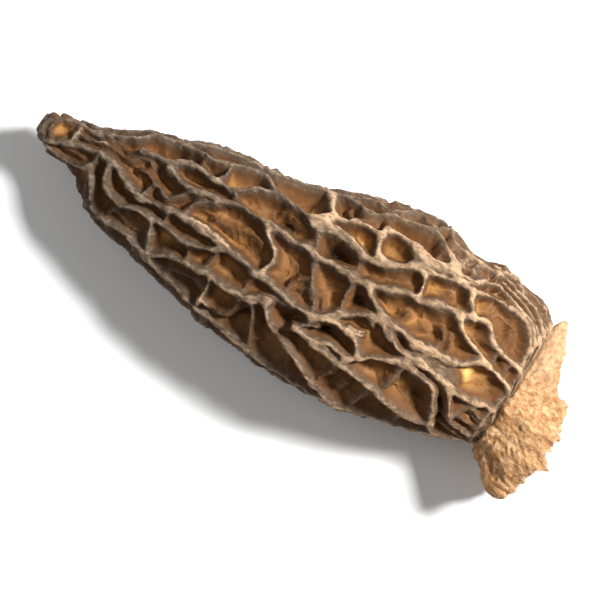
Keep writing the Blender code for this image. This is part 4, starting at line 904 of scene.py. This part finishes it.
class Nodes:
    """Short names for the shader nodes that the materials use."""

    def __init__(self, name):
        self.material = bpy.data.materials.new(name)
        self.material.use_nodes = True
        self.tree = self.material.node_tree
        self.place = self.add("ShaderNodeTexCoord", {})["Object"]

    def fill(self, node, inputs):
        """Links the inputs that come from other nodes and sets the others."""
        for socket, value in inputs.items():
            if isinstance(value, bpy.types.NodeSocket):
                self.tree.links.new(value, node.inputs[socket])
            else:
                node.inputs[socket].default_value = value

    def add(self, kind, inputs, **settings):
        node = self.tree.nodes.new(kind)
        for name, value in settings.items():
            setattr(node, name, value)
        self.fill(node, inputs)
        return node.outputs

    def attribute(self, name):
        return self.add("ShaderNodeAttribute", {}, attribute_name=name)["Fac"]

    def noise(self, size, detail, roughness=0.55, stretch=(1, 1, 1), distortion=0.0):
        scale = tuple(s / (size * MM) for s in stretch)
        place = self.add("ShaderNodeMapping", {"Vector": self.place, "Scale": scale})["Vector"]
        shape = {"Detail": detail, "Roughness": roughness, "Distortion": distortion}
        return self.add("ShaderNodeTexNoise", {"Vector": place, "Scale": 1.0, **shape})["Fac"]

    def math(self, operation, a, b):
        return self.add("ShaderNodeMath", {0: a, 1: b}, operation=operation)[0]

    def times(self, a, b):
        return self.math("MULTIPLY", a, b)

    def span(self, value, low, high, to_low=0.0, to_high=1.0):
        ends = {"From Min": low, "From Max": high, "To Min": to_low, "To Max": to_high}
        node = self.add("ShaderNodeMapRange", {"Value": value, **ends}, interpolation_type="SMOOTHSTEP")
        return node["Result"]

    def mix(self, share, a, b):
        a, b = ((*colour, 1.0) if isinstance(colour, tuple) else colour for colour in (a, b))
        return self.add("ShaderNodeMix", {"Factor": share, 6: a, 7: b}, data_type="RGBA")[2]

    def bump(self, height, strength, depth, below=None):
        inputs = {"Height": height, "Strength": strength, "Distance": depth * MM}
        if below is not None:
            inputs["Normal"] = below
        return self.add("ShaderNodeBump", inputs)["Normal"]

    def finish(self, colour, roughness, normal):
        look = {"Base Color": colour, "Roughness": roughness, "Specular IOR Level": SPECULAR}
        self.fill(self.tree.nodes["Principled BSDF"], {"Normal": normal, **look})
        return self.material


def cap_material():
    """Grey-brown crests over amber-brown pits, warmer towards the stem, with ragged borders by height."""
    n = Nodes("morel_cap_skin")
    crest, pale, painted_glow_and_shade, vein, inside = map(n.attribute, ("crest", "pale", "painted_glow_and_shade", "vein", "inside"))
    x = n.add("ShaderNodeSeparateXYZ", {0: n.place})["X"]
    to_stem = n.span(x, *(end * MM for end in WARMER_X))
    broad, middle = n.noise(6.0, 3.0), n.noise(1.3, 4.0)
    fine = n.noise(0.34, 4.0, 0.55, (0.45, 1.0, 1.0), 0.3)
    floor = n.mix(n.span(broad, 0.36, 0.64), *FLOOR_BROWNS)
    floor = n.mix(n.span(middle, 0.45, 0.75, 0.0, 0.5), floor, FLOOR_BLOTCH)
    # Painted light shining through thin pit floors
    floor = n.mix(n.span(painted_glow_and_shade, 0.0, 1.0, 0.0, 0.9), floor, PAINTED_GLOW_AMBER)
    floor = n.mix(n.span(painted_glow_and_shade, 0.62, 0.95), floor, PAINTED_GLOW_GOLD)
    # Painted shade on the floors of deep pits
    floor = n.mix(n.span(n.times(painted_glow_and_shade, -1.0), 0.0, 0.9, 0.0, 0.9), floor, PAINTED_DEEP_PIT_SHADE)
    # Crest tops get a painted highlight, broken up by noise and strongest on pale ribs
    painted_highlight = n.mix(to_stem, *PAINTED_CREST_HIGHLIGHT)
    edge = n.times(n.span(crest, 0.80, 0.94), n.span(middle, 0.38, 0.60))
    top = n.mix(n.times(edge, n.span(pale, -0.5, 0.9)), n.mix(to_stem, *CREST_BROWNS), painted_highlight)
    top = n.mix(n.times(pale, n.span(crest, 0.86, 0.95, 0.0, 0.55)), top, DUSTED)
    top = n.mix(n.times(n.span(pale, 0.75, 1.0), n.span(crest, 0.68, 0.88, 0.0, 0.45)), top, PAPERY)
    top = n.mix(n.span(fine, 0.46, 0.62, 0.0, 0.52), top, CREST_SPECK)
    # Fine specks of painted highlight on the crests
    top = n.mix(n.span(fine, 0.44, 0.30, 0.0, 0.45), top, painted_highlight)
    height = n.math("ADD", crest, n.times(n.math("SUBTRACT", fine, 0.5), 0.16))
    colour = n.mix(n.span(height, 0.15, 0.55), floor, n.mix(to_stem, *WALL_BROWNS))
    colour = n.mix(n.span(height, 0.48, 0.82), colour, top)
    colour = n.mix(n.span(vein, 0.15, 0.9, 0.0, 0.70), colour, VEIN_TAN)
    colour = n.mix(inside, colour, CAP_INSIDE)
    normal = n.bump(middle, 0.3, 0.20, n.bump(fine, 0.35, 0.06))
    return n.finish(colour, n.span(fine, 0.3, 0.7, 0.55, 0.80), normal)


def stem_material():
    """Golden tan, mealy and fibrous."""
    n = Nodes("morel_stem_skin")
    inside, cream, streak = map(n.attribute, ("inside", "cream", "streak"))
    broad, grain = n.noise(3.0, 4.0), n.noise(0.46, 6.0, 0.66)
    fibre = n.noise(0.50, 5.0, 0.62, (0.40, 1.0, 1.0), 0.4)
    colour = n.mix(n.span(broad, 0.35, 0.68), *STEM_TANS)
    colour = n.mix(n.span(grain, 0.47, 0.59, 0.0, 0.88), colour, STEM_SPECK)
    colour = n.mix(n.span(fibre, 0.50, 0.62, 0.0, 0.75), colour, STEM_THREAD)
    colour = n.mix(n.span(n.times(streak, -1.0), 0.05, 0.55, 0.0, 0.6), colour, STEM_STREAK)
    colour = n.mix(n.times(cream, n.span(grain, 0.30, 0.62, 0.75, 0.35)), colour, STEM_CREAM)
    colour = n.mix(inside, colour, STEM_INSIDE)
    normal = n.bump(fibre, 0.8, 0.24, n.bump(grain, 0.9, 0.20))
    return n.finish(colour, n.span(grain, 0.3, 0.7, 0.70, 0.90), normal)


def build_cap(angle, shift):
    outside, marks = cap_outside(angle)
    root = stem_point(np.full(len(angle), STEM_ROOT_X), angle, MARGIN_INSET)
    margin = np.stack([outside[-1] + (root - outside[-1]) * share for share in MARGIN_SHARES])
    places = np.linspace(HOLLOW_MARGIN_X, HOLLOW_NOSE_X + 0.3, HOLLOW_ROWS)
    hollow = np.stack([hollow_ring(x, angle) for x in places])
    extra = (len(margin) + len(hollow)) * len(angle)
    for mark, values in marks.items():
        marks[mark] = np.concatenate([values, np.full(extra, BEHIND_MARGIN.get(mark, 0.0))])
    marks["inside"][-len(hollow) * len(angle):] = 1.0
    rows = in_box(np.concatenate([outside, margin, hollow]), shift)
    poles = np.array([(x, *cap_section(x)[:2]) for x in (NOSE_X, HOLLOW_NOSE_X)])
    return skin_object("morel_cap", rows, marks, cap_material(), CAP_TRIANGLES, in_box(poles, shift))


def build_stem(angle, shift):
    end = torn_edge(angle)
    outside, cream, streak = stem_outside(angle, end)
    thinned = 1.0 - STEM_THIN * smoothstep(end, *STEM_THIN_X)
    rim = [stem_point(end + past, angle, inward * thinned) for past, inward in STEM_RIM]
    back = []
    for share in np.linspace(0, STEM_BACK_SHARE, STEM_BACK_ROWS):
        wall = STEM_WALL * (thinned + (1.0 - thinned) * min(share / 0.3, 1.0))
        back.append(stem_point(end - (end - STEM_START_X) * share - STEM_LIP, angle, wall))
    rows = in_box(np.concatenate([outside, rim, back]), shift)
    extra = (len(rim) + len(back)) * len(angle)
    marks = {
        "inside": np.zeros(rows[..., 0].size),
        "cream": np.concatenate([cream, np.full(extra, RIM_CREAM)]),
        "streak": np.concatenate([streak, np.zeros(extra)]),
    }
    marks["inside"][-len(back) * len(angle):] = 1.0
    return skin_object("morel_stem", rows, marks, stem_material(), STEM_TRIANGLES)


def part_shift():
    """The step from this layout to the part's place: the middles of the two outlines lie together."""
    angle = np.linspace(0.0, 2 * math.pi, 256, endpoint=False)
    places = np.linspace(NOSE_X, MARGIN_X, 240)
    rings = [cap_skin(np.full(len(angle), x), angle) for x in places]
    past, inward = PART_RIM
    rings.append(stem_point(torn_edge(angle) + past, angle, inward))
    middle = (np.min(rings, axis=(0, 1)) + np.max(rings, axis=(0, 1))) / 2
    return (np.mean(CAD_BOX, axis=0) / MM - middle) * (1.0, 1.0, 0.0)


def add_floor():
    bpy.ops.mesh.primitive_plane_add(size=FLOOR_SIZE)
    floor = bpy.context.object
    floor.name = "floor"
    material = bpy.data.materials.new("floor_white")
    material.use_nodes = True
    shader = material.node_tree.nodes["Principled BSDF"]
    shader.inputs["Base Color"].default_value = FLOOR_COLOUR
    shader.inputs["Roughness"].default_value = 0.9
    floor.data.materials.append(material)


def add_light(aim):
    world = bpy.data.worlds.new("studio")
    world.use_nodes = True
    background = world.node_tree.nodes["Background"]
    background.inputs["Color"].default_value = (1.0, 1.0, 1.0, 1.0)
    background.inputs["Strength"].default_value = WORLD_STRENGTH
    bpy.context.scene.world = world
    for name, (x, y), height, size, power in LIGHTS:
        data = bpy.data.lights.new(name, "AREA")
        data.size = size
        data.energy = power
        light = bpy.data.objects.new(name, data)
        light.location = (aim[0] + x, aim[1] + y, height)
        light.rotation_euler = (Vector(aim) - light.location).to_track_quat("-Z", "Y").to_euler()
        bpy.context.scene.collection.objects.link(light)


def add_camera(aim):
    data = bpy.data.cameras.new("camera")
    data.sensor_width = SENSOR_WIDTH
    data.lens = SENSOR_WIDTH * CAMERA_HEIGHT / VIEW_WIDTH
    data.clip_start = 0.01
    camera = bpy.data.objects.new("camera", data)
    camera.location = (aim[0], aim[1], aim[2] + CAMERA_HEIGHT * MM)
    camera.rotation_euler = (0.0, 0.0, math.radians(VIEW_TURN))
    bpy.context.scene.collection.objects.link(camera)
    bpy.context.scene.camera = camera


def main():
    angle = np.linspace(0.0, 2 * math.pi, AROUND, endpoint=False)
    shift = part_shift()
    for piece in (build_cap(angle, shift), build_stem(angle, shift)):
        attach(piece, "root")
        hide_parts("morel")
    aim = ((np.array(AIM) + shift) * MM).tolist()
    add_floor()
    add_light(aim)
    add_camera(aim)
    bpy.context.scene.view_settings.view_transform = "Standard"


main()
